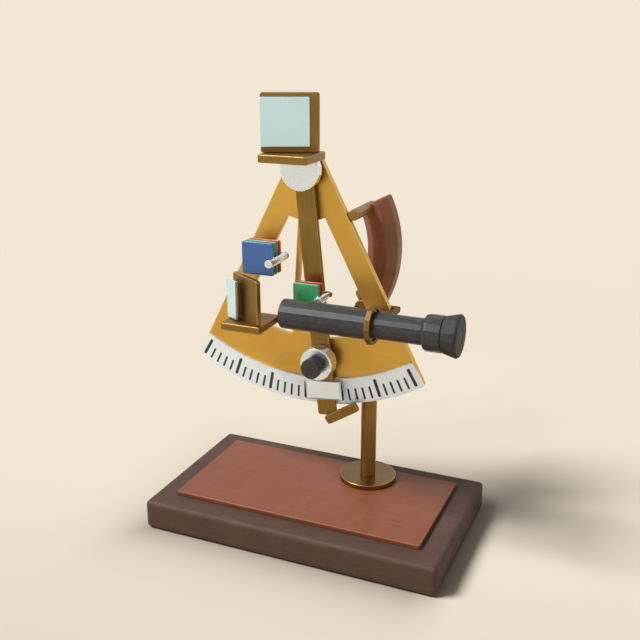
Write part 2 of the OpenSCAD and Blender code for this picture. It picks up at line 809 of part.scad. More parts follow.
// A hinge pin with a fat head from y = front to the first barrel.
module shade_pin(front) {
    head_back = shade_front - 3.2;
    rod_y(front, head_back, barrel_d);
    rod_y(head_back, carrier_back, hinge_pin_d);
}

module at_index_shades() translate([index_pin_x, 0, index_pin_z]) children();
module at_horizon_shades() translate([horizon_pin_x, 0, horizon_pin_z]) children();

module blue_shade() color([0.27, 0.43, 0.62])
    at_index_shades() shade_glass(index_shade_w, index_shade_h, 0, index_inset);
module green_shade() color([0.2, 0.5, 0.35])
    at_index_shades() shade_glass(index_shade_w, index_shade_h, 1, index_inset);
module red_shade() color([0.7, 0.25, 0.2])
    at_index_shades() shade_glass(index_shade_w, index_shade_h, 2, index_inset);
module blue_barrel() color("silver") at_index_shades() shade_barrel(0);
module green_barrel() color("silver") at_index_shades() shade_barrel(1);
module red_barrel() color("silver") at_index_shades() shade_barrel(2);
module index_shade_pin() color("silver") at_index_shades() shade_pin(index_pin_front);

module horizon_green_shade() color([0.2, 0.5, 0.35])
    at_horizon_shades() shade_glass(horizon_shade_w, horizon_shade_h, 0, horizon_inset);
module horizon_red_shade() color([0.7, 0.25, 0.2])
    at_horizon_shades() shade_glass(horizon_shade_w, horizon_shade_h, 1, horizon_inset);
module horizon_green_barrel() color("silver") at_horizon_shades() shade_barrel(0);
module horizon_red_barrel() color("silver") at_horizon_shades() shade_barrel(1);
module horizon_shade_pin() color("silver") at_horizon_shades() shade_pin(horizon_pin_front);

lug_front = shade_front + 2 * shade_pitch + shade_t + 0.5;
pad_d = 7;
bracket_left = limb_left(91, 10)[0] - pad_d / 2;

// The plate behind the index shades, with two pads that reach back to the left limb.
module index_shade_bracket() color("silver") difference() {
    union() {
        translate([(index_pin_x + bracket_left) / 2, 0, index_pin_z])
            upright(lug_front, carrier_back - lug_front)
            square([index_pin_x - bracket_left, 6], center = true);
        at_index_shades() rod_y(lug_front, carrier_back, barrel_d);
        translate([(bracket_left - 62) / 2, 0, index_pin_z + 1]) upright(lug_front, carrier_back - lug_front)
            round_rect(-62 - bracket_left, 18, 2);
        for (p = shade_screws) translate([p[0], 0, p[1]]) rod_y(lug_front, frame_y, pad_d);
    }
    at_index_shades() rod_y(lug_front - 1, carrier_back + 1, hinge_pin_d);
    for (p = shade_screws) translate([p[0], 0, p[1]]) rod_y(frame_y - 5.2, frame_y + 1, screw_d);
}

/* Horizon mirror */

shelf_screw_x = [horizon_shelf_left + 9, horizon_shelf_left + horizon_shelf_w - 8];
shelf_screw_z = horizon_shelf_top - horizon_shelf_t / 2;
flange_screw_y = 6;
flange_screw_z = bridge_flange_z + bridge_flange_h / 2;

// The bar in front of the arm, its post on the left limb, and the lug that holds the shades' pin.
module bridge() color([0.48, 0.35, 0.16]) difference() {
    union() {
        translate([bridge_post_x, 0, bridge_post_z]) rod_y(carrier_front, frame_y, bridge_post_d);
        translate([bridge_left, carrier_front, horizon_shelf_top - horizon_shelf_t])
            cube([bridge_post_d, carrier_t, bridge_post_z - horizon_shelf_top + horizon_shelf_t]);
        translate([bridge_left, carrier_front, horizon_shelf_top - horizon_shelf_t])
            cube([horizon_shelf_left + horizon_shelf_w - bridge_left, carrier_t, horizon_shelf_t]);
        translate([horizon_shelf_left + horizon_shelf_w - 3, carrier_front, bridge_z0])
            cube([bridge_rise_x + 6 - horizon_shelf_left - horizon_shelf_w, carrier_t, bridge_h]);
        translate([bridge_rise_x, carrier_front, bridge_z0 + 3.5])
            cube([neck_x0 - bridge_rise_x, carrier_t, bridge_flange_z + bridge_flange_h - bridge_z0 - 3.5]);
        translate([neck_x0 - bridge_flange_t, 0, bridge_flange_z])
            cube([bridge_flange_t, carrier_back, bridge_flange_h]);
        translate([lug_x, carrier_back - lug_t, bridge_z0])
            cube([lug_w, lug_t, horizon_pin_z + lug_h / 2 - bridge_z0]);
        translate([lug_x, carrier_back - lug_t, horizon_pin_z - lug_h / 2])
            cube([horizon_pin_x - lug_x, lug_t, lug_h]);
        at_horizon_shades() rod_y(carrier_back - lug_t, carrier_back, barrel_d);
    }
    at_horizon_shades() rod_y(carrier_front - 1, carrier_back + 1, hinge_pin_d);
    translate([bridge_post_x, 0, bridge_post_z]) rod_y(frame_y - 5.2, frame_y + 1, screw_d);
    for (x = shelf_screw_x) translate([x, 0, shelf_screw_z]) {
        rod_y(carrier_front - 1, carrier_back, small_screw_d + 0.2);
        rod_y(carrier_back - small_head_t - 0.1, carrier_back + 1, small_head_d + 0.2);
    }
    translate([0, flange_screw_y, flange_screw_z])
        rod_x(neck_x0 - bridge_flange_t - 1, neck_x0 + 1, screw_d + 0.2);
}

// Two short screws hold the shelf to the bar, and a third holds the bar to the telescope's bracket.
module bridge_screws() color("silver") {
    for (x = shelf_screw_x) translate([x, 0, shelf_screw_z]) {
        rod_y(carrier_front - 6, carrier_back - 0.2, small_screw_d);
        rod_y(carrier_back - small_head_t, carrier_back - 0.2, small_head_d);
    }
    translate([0, flange_screw_y, flange_screw_z]) {
        rod_x(neck_x0 - bridge_flange_t - 1, neck_x0 + 6, screw_d - 2 * running);
        rod_x(neck_x0 - bridge_flange_t - screw_head_t, neck_x0 - bridge_flange_t, screw_head_d);
    }
}

module horizon_shelf() color([0.48, 0.35, 0.16]) difference() {
    translate([
        horizon_shelf_left + horizon_shelf_w / 2,
        (carrier_front + shelf_front) / 2,
        horizon_shelf_top - horizon_shelf_t
    ]) linear_extrude(horizon_shelf_t) round_rect(horizon_shelf_w, carrier_front - shelf_front, 1.5);
    for (x = shelf_screw_x) translate([x, 0, shelf_screw_z])
        rod_y(carrier_front - 7, carrier_front + 1, small_screw_d);
}

// Moves to the near foot of the horizon mirror: its plates run back to the left.
module at_horizon_mirror()
    translate([horizon_shelf_left + horizon_shelf_w - 2.4, shelf_front + 1, horizon_shelf_top])
        rotate(horizon_yaw) children();

horizon_back_t = 4.2;
horizon_glass_w = 16;
horizon_glass_h = 34.2;
horizon_glass_z = 1;
horizon_gap = 4.6;

// The back plate, and the pad that holds the half mirror clear of it.
module horizon_back() color([0.48, 0.35, 0.16]) at_horizon_mirror() {
    translate([-horizon_back_w / 2, 0, horizon_back_h / 2])
        upright(0, horizon_back_t) round_rect(horizon_back_w, horizon_back_h, 1.8);
    translate([-horizon_back_w + 4, -horizon_gap, horizon_glass_z + 3])
        cube([horizon_glass_w - 7, horizon_gap + 1, horizon_glass_h - 6]);
}

module horizon_glass() color([0.77, 0.86, 0.88]) at_horizon_mirror()
    translate([-horizon_back_w + horizon_glass_w / 2 + 0.5, 0, horizon_glass_z + horizon_glass_h / 2])
        upright(-horizon_gap - glass_t, glass_t) round_rect(horizon_glass_w, horizon_glass_h, 0.8);

/* Telescope */

module on_scope() translate([0, scope_y, scope_z]) children();

// The collar round the tube, the neck behind it, and the web that reaches round the limb's edge.
module telescope_bracket() color([0.48, 0.35, 0.16]) difference() {
    union() {
        on_scope() rod_x(collar_x0, collar_x1, collar_d, $fn = 12);
        translate([neck_x0, scope_y + tube_d / 2, neck_z0])
            cube([neck_x1 - neck_x0, carrier_back - scope_y - tube_d / 2, neck_z1 - neck_z0]);
        translate([web_x0, carrier_front, web_z0])
            cube([neck_x1 - web_x0, frame_back + strap_t - carrier_front, web_h]);
        translate([neck_x0, frame_back, web_z0]) cube([neck_x1 - neck_x0, strap_t, web_h]);
        at_pivot() upright(frame_back, strap_t) rotate(limb_angle)
            translate([scope_plate_v, -scope_plate_u - scope_plate_h])
                square([limb_outer - 0.6 - scope_plate_v, scope_plate_h]);
    }
    on_scope() rod_x(collar_x0 - 20, collar_x1 + 20, tube_d);
    for (p = scope_screws) translate([p[0], 0, p[1]]) rod_y(frame_back - 1, frame_back + 9, screw_d + 0.2);
    translate([0, flange_screw_y, flange_screw_z]) rod_x(neck_x0 - 1, neck_x0 + 7, screw_d);
}

bore_d = tube_d - 2 * tube_wall;

module telescope_tube() color([0.25, 0.25, 0.25]) on_scope() difference() {
    union() {
        rod_x(tube_x0, tube_x1, tube_d - 2 * running);
        rod_x(tube_x1, rear_x1, rear_d);
    }
    rod_x(tube_x0 - 1, tube_x1 - 4, bore_d);
    rod_x(tube_x0, rear_x1 + 1, draw_d + 2 * running);
}

module objective_lens() color([0.7, 0.8, 0.85]) on_scope() rod_x(tube_x0 + 4, tube_x0 + 7, bore_d);

module draw_tube() color("silver") on_scope() difference() {
    rod_x(tube_x1 - 10, eye_x1, draw_d);
    rod_x(tube_x1 - 11, eye_x1 + 1, draw_d - 2 * draw_wall);
}

module eyepiece_barrel() color([0.22, 0.22, 0.22]) on_scope() difference() {
    union() {
        translate([rear_x1 + draw_play, 0, 0]) rotate([0, 90, 0])
            cylinder(d1 = rear_d, d2 = barrel_eye_d, h = shoulder);
        rod_x(rear_x1 + draw_play + shoulder, eye_x1, barrel_eye_d);
    }
    rod_x(rear_x1, eye_x1 + 1, draw_d);
}

eye_hole_d = 12;
cup_l = cup_x1 - eye_x1;

module eyecup() color([0.2, 0.2, 0.2]) on_scope() difference() {
    translate([eye_x1, 0, 0]) rotate([0, 90, 0]) rotate_extrude() polygon(concat(
        [[0, 0], [barrel_eye_d / 2 - 0.6, 0], [barrel_eye_d / 2, 0.6]],
        [for (a = [0:15:90]) [cup_d / 2 - cup_edge * (1 - cos(a)), cup_l - cup_edge * (1 - sin(a))]],
        [[0, cup_l]]
    ));
    rod_x(eye_x1 - 1, cup_x1 + 1, eye_hole_d);
    translate([cup_x1 - 1.2, 0, 0]) rod_x(0, 3, eye_hole_d + 3);
}

module eye_lens() color([0.7, 0.8, 0.85]) on_scope() rod_x(cup_x1 - 4.2, cup_x1 - 1.4, eye_hole_d);

/* Handle */

grip_screw_back = 7;

// The grip bows to the right: its eight-sided bar turns about a far level line behind the frame.
module handle_grip() color([0.45, 0.27, 0.2]) difference() {
    translate([grip_mid_x - grip_bow, grip_y, grip_mid_z]) rotate([90, 0, 0]) rotate(-grip_down)
        rotate_extrude(angle = grip_up + grip_down, $fn = 96)
            translate([grip_bow, 0]) rotate(22.5) circle(d = grip_d, $fn = 8);
    for (p = [[upper_post_x, upper_post_z], [lower_post_x, lower_post_z]]) translate([p[0], 0, p[1]]) {
        post_bar(frame_y, post_back + 0.1, post_d + 0.1);
        rod_y(post_back, grip_y + 20, screw_d + 0.2);
        rod_y(grip_y + grip_screw_back, grip_y + 20, screw_head_d + 0.5);
    }
}

module grip_screws() color("silver") for (p = [[upper_post_x, upper_post_z], [lower_post_x, lower_post_z]])
    translate([p[0], 0, p[1]]) rear_screw(grip_y + grip_screw_back, grip_screw_back + 13);

// An eight-sided bar along Y.
module post_bar(front, back, d)
    translate([0, back, 0]) rotate([90, 0, 0]) rotate(22.5) cylinder(d = d, h = back - front, $fn = 8);

module post_screw_hole() rod_y(post_back - 11, post_back + 1, screw_d);

// The upper post, with the plate that holds it behind the limb.
module upper_post() color([0.5, 0.4, 0.25]) difference() {
    union() {
        translate([upper_post_x, 0, upper_post_z]) post_bar(frame_y, post_back, post_d);
        at_pivot() upright(frame_back, strap_t) rotate(limb_angle) {
            translate([8, -upper_post_u]) round_rect(12, 14, 2);
            translate([8, -upper_post_u - 3.8]) square([12.5, 7.6]);
        }
    }
    translate([upper_post_x, 0, upper_post_z]) post_screw_hole();
    for (p = upper_screws) translate([p[0], 0, p[1]]) rod_y(frame_back - 1, frame_back + 9, screw_d + 0.2);
}

// The lower post stands in the opening, on a strap that is fixed behind the limb.
module lower_post() color([0.5, 0.4, 0.25]) difference() {
    union() {
        translate([lower_post_x, 0, lower_post_z]) post_bar(frame_back, post_back, post_d);
        translate([lower_post_x + lower_strap_w / 2 - 2.2, 0, lower_post_z + 2]) upright(frame_back, strap_t)
            round_rect(lower_strap_w, lower_strap_h, 6);
        at_pivot() upright(frame_back, strap_t) rotate(limb_angle)
            translate([-3, -lower_post_u - 17]) square([8.5, 15]);
    }
    translate([lower_post_x, 0, lower_post_z]) post_screw_hole();
    for (p = lower_screws) translate([p[0], 0, p[1]]) rod_y(frame_back - 1, frame_back + 9, screw_d + 0.2);
}

plinth();
inlay_panel();
base_felt();
stand_foot();
stand_column();
stand_bolt();
frame_bracket();
frame();
arc_scale();
frame_screws();
pivot_bush();
spindle();
spindle_nut();
index_arm();
pivot_cap();
vernier_plate();
index_shelf();
shelf_screws();
index_back();
index_glass();
drum_shaft();
micrometer_drum();
drum_knob();
drive_pinion();
pinion_stud();
clamp_lever();
clamp_shoe();
lever_pin();
lever_spring();
index_shade_bracket();
index_shade_pin();
blue_shade();
green_shade();
red_shade();
blue_barrel();
green_barrel();
red_barrel();
bridge();
bridge_screws();
horizon_shelf();
horizon_back();
horizon_glass();
horizon_shade_pin();
horizon_green_shade();
horizon_red_shade();
horizon_green_barrel();
horizon_red_barrel();
telescope_bracket();
telescope_tube();
objective_lens();
draw_tube();
eyepiece_barrel();
eyecup();
eye_lens();
handle_grip();
grip_screws();
upper_post();
lower_post();
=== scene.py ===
"""Dresses a sextant on its display stand, and lights it as a small studio still life.

All sizes in the classes are millimetres in the model's own frame: X runs along the telescope
toward the eye, -Y faces the reader of the scale and +Z is up. Meshes are written in metres.
"""
import logging
import math
from dataclasses import dataclass
from enum import Enum
from typing import Callable, ClassVar, Optional, Sequence

import bpy
import numpy as np
from mathutils import Euler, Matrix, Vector
from mathutils.geometry import tessellate_polygon


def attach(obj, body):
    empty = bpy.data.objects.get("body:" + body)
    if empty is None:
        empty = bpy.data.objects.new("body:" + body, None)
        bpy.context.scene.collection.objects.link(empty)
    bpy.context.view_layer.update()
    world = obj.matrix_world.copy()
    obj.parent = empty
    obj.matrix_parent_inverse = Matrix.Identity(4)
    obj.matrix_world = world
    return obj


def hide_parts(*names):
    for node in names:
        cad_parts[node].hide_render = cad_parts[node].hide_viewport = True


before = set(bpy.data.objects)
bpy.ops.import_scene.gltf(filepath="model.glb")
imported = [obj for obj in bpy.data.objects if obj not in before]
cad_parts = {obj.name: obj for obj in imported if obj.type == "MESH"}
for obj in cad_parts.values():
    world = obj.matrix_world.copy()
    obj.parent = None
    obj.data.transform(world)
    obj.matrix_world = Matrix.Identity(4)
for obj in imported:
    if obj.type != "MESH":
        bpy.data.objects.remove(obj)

logging.basicConfig(level=logging.INFO, format="%(message)s")
log = logging.getLogger("sextant")

MM = 0.001
FRAME_FRONT, FRAME_BACK = 22.0, 27.5
CARRIER_BACK = 14.5
LIMB_TILT = 27.0
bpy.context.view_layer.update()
Array = np.ndarray
Place = Callable[[Array], Array]
Colour = tuple[int, int, int]
Outline = tuple[tuple[float, float], ...]
Point = tuple[float, float, float]
Node = bpy.types.Node
Socket = bpy.types.NodeSocket
Material = bpy.types.Material


class Facing(Enum):
    """How a flat outline (u, v) and its depth w are laid in the model's frame."""

    READER = "outline in X and Z, depth along +Y"
    TABLE = "outline in X and Y, depth along +Z"


class Section(Enum):
    """How many sides a turned piece shows."""

    ROUND = 96
    SIXTEEN = 16
    EIGHT = 8


# ---------------------------------------------------------------- places


@dataclass(frozen=True)
class Hub:
    """The pivot of the index arm, and the arm's angle at rest."""

    x: float = -20.0
    z: float = 305.0
    arm_angle: float = 6.0

    def on_frame(self, points: Array) -> Array:
        """Moves points given about the pivot to the model's frame.

        Args:
            points: (n, 3) points in mm about the pivot.

        Returns:
            The same points in the model's frame.
        """
        return points + np.array([self.x, 0.0, self.z])

    def on_arm(self, points: Array) -> Array:
        """Turns points of the arm's own frame, where the arm hangs down -Z, to their place at rest.

        Args:
            points: (n, 3) points in mm about the pivot, in the arm's frame.

        Returns:
            The points in the model's frame.
        """
        return self.on_frame(turn_y(points, -self.arm_angle))


HUB = Hub()


def turn_y(points: Array, degrees: float) -> Array:
    """Turns points about the Y axis by the right-hand rule."""
    a = math.radians(degrees)
    x, y, z = points[:, 0], points[:, 1], points[:, 2]
    return np.stack([x * math.cos(a) + z * math.sin(a), y, z * math.cos(a) - x * math.sin(a)], 1)


def turn_z(points: Array, degrees: float) -> Array:
    """Turns points about the Z axis by the right-hand rule."""
    a = math.radians(degrees)
    x, y, z = points[:, 0], points[:, 1], points[:, 2]
    return np.stack([x * math.cos(a) - y * math.sin(a), x * math.sin(a) + y * math.cos(a), z], 1)


def on_limb(points: Array) -> Array:
    """Moves points of the right limb's own frame, where the limb hangs down -Z, to the model's frame."""
    return HUB.on_frame(turn_y(points, -LIMB_TILT))


# ---------------------------------------------------------------- outlines


def rounded(loop: Array, radius: float, steps: int = 5, sharp: float = 25.0) -> Array:
    """Rounds the sharp corners of a closed outline.

    A corner P becomes the curve (1-t)^2 A + 2t(1-t) P + t^2 C, where A and C lie on the two sides
    at the length that a fillet of the given radius takes. Gentle corners stay as they are.

    Args:
        loop: (n, 2) points, counter-clockwise round material.
        radius: the fillet's radius in mm.
        steps: segments in each rounded corner.
        sharp: corners that turn less than this, in degrees, are left.

    Returns:
        The rounded outline.
    """
    before, after = np.roll(loop, 1, 0) - loop, np.roll(loop, -1, 0) - loop
    lb, la = np.linalg.norm(before, axis=1), np.linalg.norm(after, axis=1)
    eb, ea = before / lb[:, None], after / la[:, None]
    turn = np.pi - np.arccos(np.clip((eb * ea).sum(1), -1, 1))
    is_sharp = turn > math.radians(sharp)
    cut = np.minimum(radius * np.tan(turn / 2), 0.45 * np.minimum(lb, la))[:, None]
    t = np.linspace(0, 1, steps + 1)[None, :, None]
    a, p, c = (loop + eb * cut)[:, None], loop[:, None], (loop + ea * cut)[:, None]
    curve = (1 - t) ** 2 * a + 2 * t * (1 - t) * p + t ** 2 * c
    curve = np.where(is_sharp[:, None, None], curve, p)
    keep = is_sharp[:, None] | (np.arange(steps + 1)[None] == 0)
    return curve[keep]


def box_outline(x0: float, x1: float, y0: float, y1: float, radius: float = 0.0) -> Array:
    """Gives a rectangle's outline, with its corners rounded to radius."""
    loop = np.array([[x0, y0], [x1, y0], [x1, y1], [x0, y1]], float)
    return rounded(loop, radius, 6) if radius else loop


def arc(radius: float, start: float, end: float, count: int) -> Array:
    """Gives points on a circle about the origin, from start to end degrees measured from -v toward +u."""
    a = np.radians(np.linspace(start, end, count))
    return np.stack([radius * np.sin(a), -radius * np.cos(a)], 1)


def bearing(point: Array) -> float:
    """Gives a point's angle about the origin in degrees, measured as arc measures it."""
    return math.degrees(math.atan2(point[0], -point[1]))


def hole(radius: float, count: int = 64) -> Array:
    """Gives a round hole's outline, clockwise."""
    return arc(radius, 0, 360, count + 1)[:-1][::-1]


def offset(loop: Array, inset: float) -> Array:
    """Moves an outline into its material: each corner goes along its mitre, (n0 + n1) / (1 + n0.n1)."""
    e = np.roll(loop, -1, 0) - loop
    e = e / np.linalg.norm(e, axis=1)[:, None]
    n1 = np.stack([-e[:, 1], e[:, 0]], 1)
    n0 = np.roll(n1, 1, 0)
    m = (n0 + n1) / np.maximum(1 + (n0 * n1).sum(1), 0.35)[:, None]
    return loop + inset * m


# ---------------------------------------------------------------- meshes


def placed(name: str, data: bpy.types.ID) -> bpy.types.Object:
    """Adds an object of the given data to the scene, at the origin."""
    obj = bpy.data.objects.new(name, data)
    bpy.context.scene.collection.objects.link(obj)
    return obj


class Draft:
    """Collects the points and faces of one piece, with how near each point is to a worn edge."""

    def __init__(self) -> None:
        """Starts an empty piece."""
        self.points: list[Array] = []
        self.wear: list[Array] = []
        self.grain: list[Array] = []
        self.faces: list[list[int]] = []
        self.count = 0

    def add(self, points: Array, wear: Array, grain: Optional[Array] = None) -> int:
        """Adds points.

        Args:
            points: (n, 3) points in mm.
            wear: (n,) values, 1 on an edge that wears and 0 away from it.
            grain: (n, 3) places in the wood's own frame, or None for the points themselves.

        Returns:
            The index of the first point added.
        """
        first = self.count
        self.points.append(points)
        self.wear.append(wear)
        self.grain.append(points if grain is None else grain)
        self.count += len(points)
        return first

    def grid(self, pts: Array, wear: Array, place: Optional[Place] = None, closed: bool = False,
             grain: Optional[Array] = None) -> Array:
        """Adds a surface of two parameters, whose last column joins the first.

        Args:
            pts: (rows, cols, 3) points.
            wear: (rows, cols) wear values.
            place: moves the points to their place.
            closed: whether the last row joins the first.
            grain: (rows, cols, 3) places in the wood's frame.

        Returns:
            (rows, cols) indices of the points.
        """
        rows, cols = pts.shape[:2]
        flat = pts.reshape(-1, 3)
        flat = flat if place is None else place(flat)
        first = self.add(flat, wear.reshape(-1), None if grain is None else grain.reshape(-1, 3))
        index = first + np.arange(rows * cols).reshape(rows, cols)
        r0, r1 = (index, np.roll(index, -1, 0)) if closed else (index[:-1], index[1:])
        quads = np.stack([r0, np.roll(r0, -1, 1), np.roll(r1, -1, 1), r1], -1)
        self.faces.extend(quads.reshape(-1, 4).tolist())
        return index

    def cap(self, loop: Array, reverse: bool = False) -> None:
        """Closes a convex loop of points with one face."""
        ring = loop.tolist()
        self.faces.append(ring[::-1] if reverse else ring)

    def slab(self, loops: Sequence[Array], low: float, high: float, bevel: float = 0.4, steps: int = 3,
             band: float = 0.8, facing: Facing = Facing.READER,
             place: Optional[Place] = None) -> "Draft":
        """Adds a flat plate with rounded rims, through holes included.

        Each outline is carried along one profile: across the low face, round a quarter circle of radius
        bevel, up the side, and round to the high face. The faces between the outlines are then filled.

        Args:
            loops: the outer outline counter-clockwise, then the holes clockwise.
            low: depth of the first face.
            high: depth of the second face.
            bevel: radius of the rims.
            steps: segments in a rim.
            band: width of flat face next to a rim that keeps its own row of points.
            facing: how the outline lies in the frame.
            place: moves the points to their place.

        Returns:
            This draft.
        """
        t = np.linspace(0, np.pi / 2, steps + 1)
        inset = np.concatenate([[bevel + band], bevel * (1 - np.sin(t))])
        depth = np.concatenate([[low], low + bevel * (1 - np.cos(t))])
        worn = np.concatenate([[0.0], 0.55 + 0.45 * np.sin(2 * t)])
        side = min(band, max((high - low) / 2 - bevel, 0.0) * 0.6)
        if side > 0.05:
            inset, depth, worn = np.append(inset, 0.0), np.append(depth, low + bevel + side), np.append(worn, 0.0)
        inset = np.concatenate([inset, inset[::-1]])
        depth = np.concatenate([depth, (high + low - depth)[::-1]])
        worn = np.concatenate([worn, worn[::-1]])
        caps = []
        for loop in loops:
            flat = np.stack([offset(loop, i) for i in inset])
            w = np.broadcast_to(depth[:, None], flat.shape[:2])
            u, v = flat[..., 0], flat[..., 1]
            pts = np.stack([u, w, v] if facing is Facing.READER else [u, v, w], -1)
            index = self.grid(pts, np.broadcast_to(worn[:, None], flat.shape[:2]), place)
            caps.append((flat[0], index))
        fill = tessellate_polygon([[Vector((p[0], p[1], 0.0)) for p in flat] for flat, _ in caps])
        first = np.concatenate([index[0] for _, index in caps])
        last = np.concatenate([index[-1] for _, index in caps])
        ring = np.concatenate([flat for flat, _ in caps])
        tri = np.array(fill)
        a, b, c = ring[tri[:, 0]], ring[tri[:, 1]], ring[tri[:, 2]]
        area = (b[:, 0] - a[:, 0]) * (c[:, 1] - a[:, 1]) - (b[:, 1] - a[:, 1]) * (c[:, 0] - a[:, 0])
        tri = np.where((area < 0)[:, None], tri[:, ::-1], tri)[np.abs(area) > 1e-9]
        self.faces.extend(first[tri[:, ::-1]].tolist())
        self.faces.extend(last[tri].tolist())
        return self

    def turned(self, profile: Sequence[tuple], axis: str, centre: tuple[float, float],
               section: Section = Section.ROUND, soft: float = 0.25, start: float = 0.0,
               place: Optional[Place] = None, closed: bool = False) -> "Draft":
        """Adds a piece turned about an axis, or carried along it with a many-sided section.

        A row of the surface is the section scaled by the profile's radius; a section with few sides
        has a short flat of soft mm across each corner, so that its edges catch the light.

        Args:
            profile: (distance along the axis, radius, wear) rows; wear may be left out.
            axis: "x", "y" or "z".
            centre: the axis's place in the other two coordinates.
            section: how many sides it shows.
            soft: length of the flat across a corner.
            start: turn of the first corner in degrees.
            place: moves the points to their place.
            closed: whether the profile is a ring, as of a tube's wall.

        Returns:
            This draft.
        """
        rows = np.array([(p + (0.0,))[:3] for p in profile], float)
        n = section.value
        a = np.radians(start) + np.arange(n) * 2 * np.pi / n
        unit = np.stack([np.cos(a), np.sin(a)], 1)
        corner = np.zeros(n)
        if n < 40:
            unit = rounded(unit, soft / rows[:, 1].max() / (2 * math.tan(math.pi / n)), 2, sharp=5)
            corner = np.tile([0.35, 0.6, 0.35], n)
        ring = rows[:, 1, None, None] * unit[None]
        along = np.broadcast_to(rows[:, 0, None], ring.shape[:2])
        u, v = ring[..., 0] + centre[0], ring[..., 1] + centre[1]
        pts = {"x": [along, u, v], "y": [u, along, v], "z": [u, v, along]}[axis]
        wear = np.maximum(rows[:, 2, None], corner[None] * (rows[:, 1, None] > 0))
        index = self.grid(np.stack(pts, -1), wear, place, closed)
        if not closed:
            self.cap(index[0], reverse=True)
            self.cap(index[-1])
        return self

    def build(self, name: str, sharp: float = 40.0) -> bpy.types.Object:
        """Makes the piece's object, with its faces turned outwards and its shading set.

        Args:
            name: the piece's name.
            sharp: edges that turn more than this, in degrees, stay crisp.

        Returns:
            The new object, at the origin.
        """
        pts = np.concatenate(self.points) * MM
        mesh = bpy.data.meshes.new(name)
        mesh.from_pydata(pts.tolist(), [], self.faces)
        mesh.validate()
        worn = mesh.attributes.new("wear", "FLOAT", "POINT")
        worn.data.foreach_set("value", np.concatenate(self.wear).astype(np.float32))
        grain = mesh.attributes.new("grain", "FLOAT_VECTOR", "POINT")
        grain.data.foreach_set("vector", (np.concatenate(self.grain) * MM).astype(np.float32).reshape(-1))
        mesh.polygons.foreach_set("use_smooth", np.ones(len(mesh.polygons), bool))
        mesh.update()
        obj = placed(name, mesh)
        mesh.set_sharp_from_angle(angle=math.radians(sharp))
        weighted = obj.modifiers.new("flat faces lead", "WEIGHTED_NORMAL")
        weighted.keep_sharp = True
        weighted.weight = 80
        return obj


def rod(low: float, high: float, radius: float, bevel: float = 0.4) -> list[Point]:
    """Gives the profile of a plain rod with rounded ends' rims."""
    t = np.linspace(0, np.pi / 2, 5)
    r = radius - bevel + bevel * np.sin(t)
    d = bevel * (1 - np.cos(t))
    band = min(0.8, (high - low) / 4)
    worn = 0.5 + 0.5 * np.sin(2 * t)
    first = [(low, max(radius - bevel - 0.8, radius * 0.5), 0.0)]
    rim0 = list(zip(low + d, r, worn))
    rim1 = list(zip((high - d)[::-1], r[::-1], worn[::-1]))
    middle = [(low + bevel + band, radius, 0.0), (high - bevel - band, radius, 0.0)]
    return first + rim0 + middle + rim1 + [(high, max(radius - bevel - 0.8, radius * 0.5), 0.0)]


# ---------------------------------------------------------------- shader groups

DUST = (0.8, 0.76, 0.68, 1.0)
# the colour that the floor's painted shadow mixes toward
SHADOW_BLACK = (0.0, 0.0, 0.0, 1.0)


def linear(colour: Sequence[float]) -> tuple[float, float, float, float]:
    """Turns a display colour, 0 to 255, into the linear colour that a shader takes."""
    c = np.array(colour, float) / 255
    lin = np.where(c <= 0.04045, c / 12.92, ((c + 0.055) / 1.055) ** 2.4)
    return (float(lin[0]), float(lin[1]), float(lin[2]), 1.0)


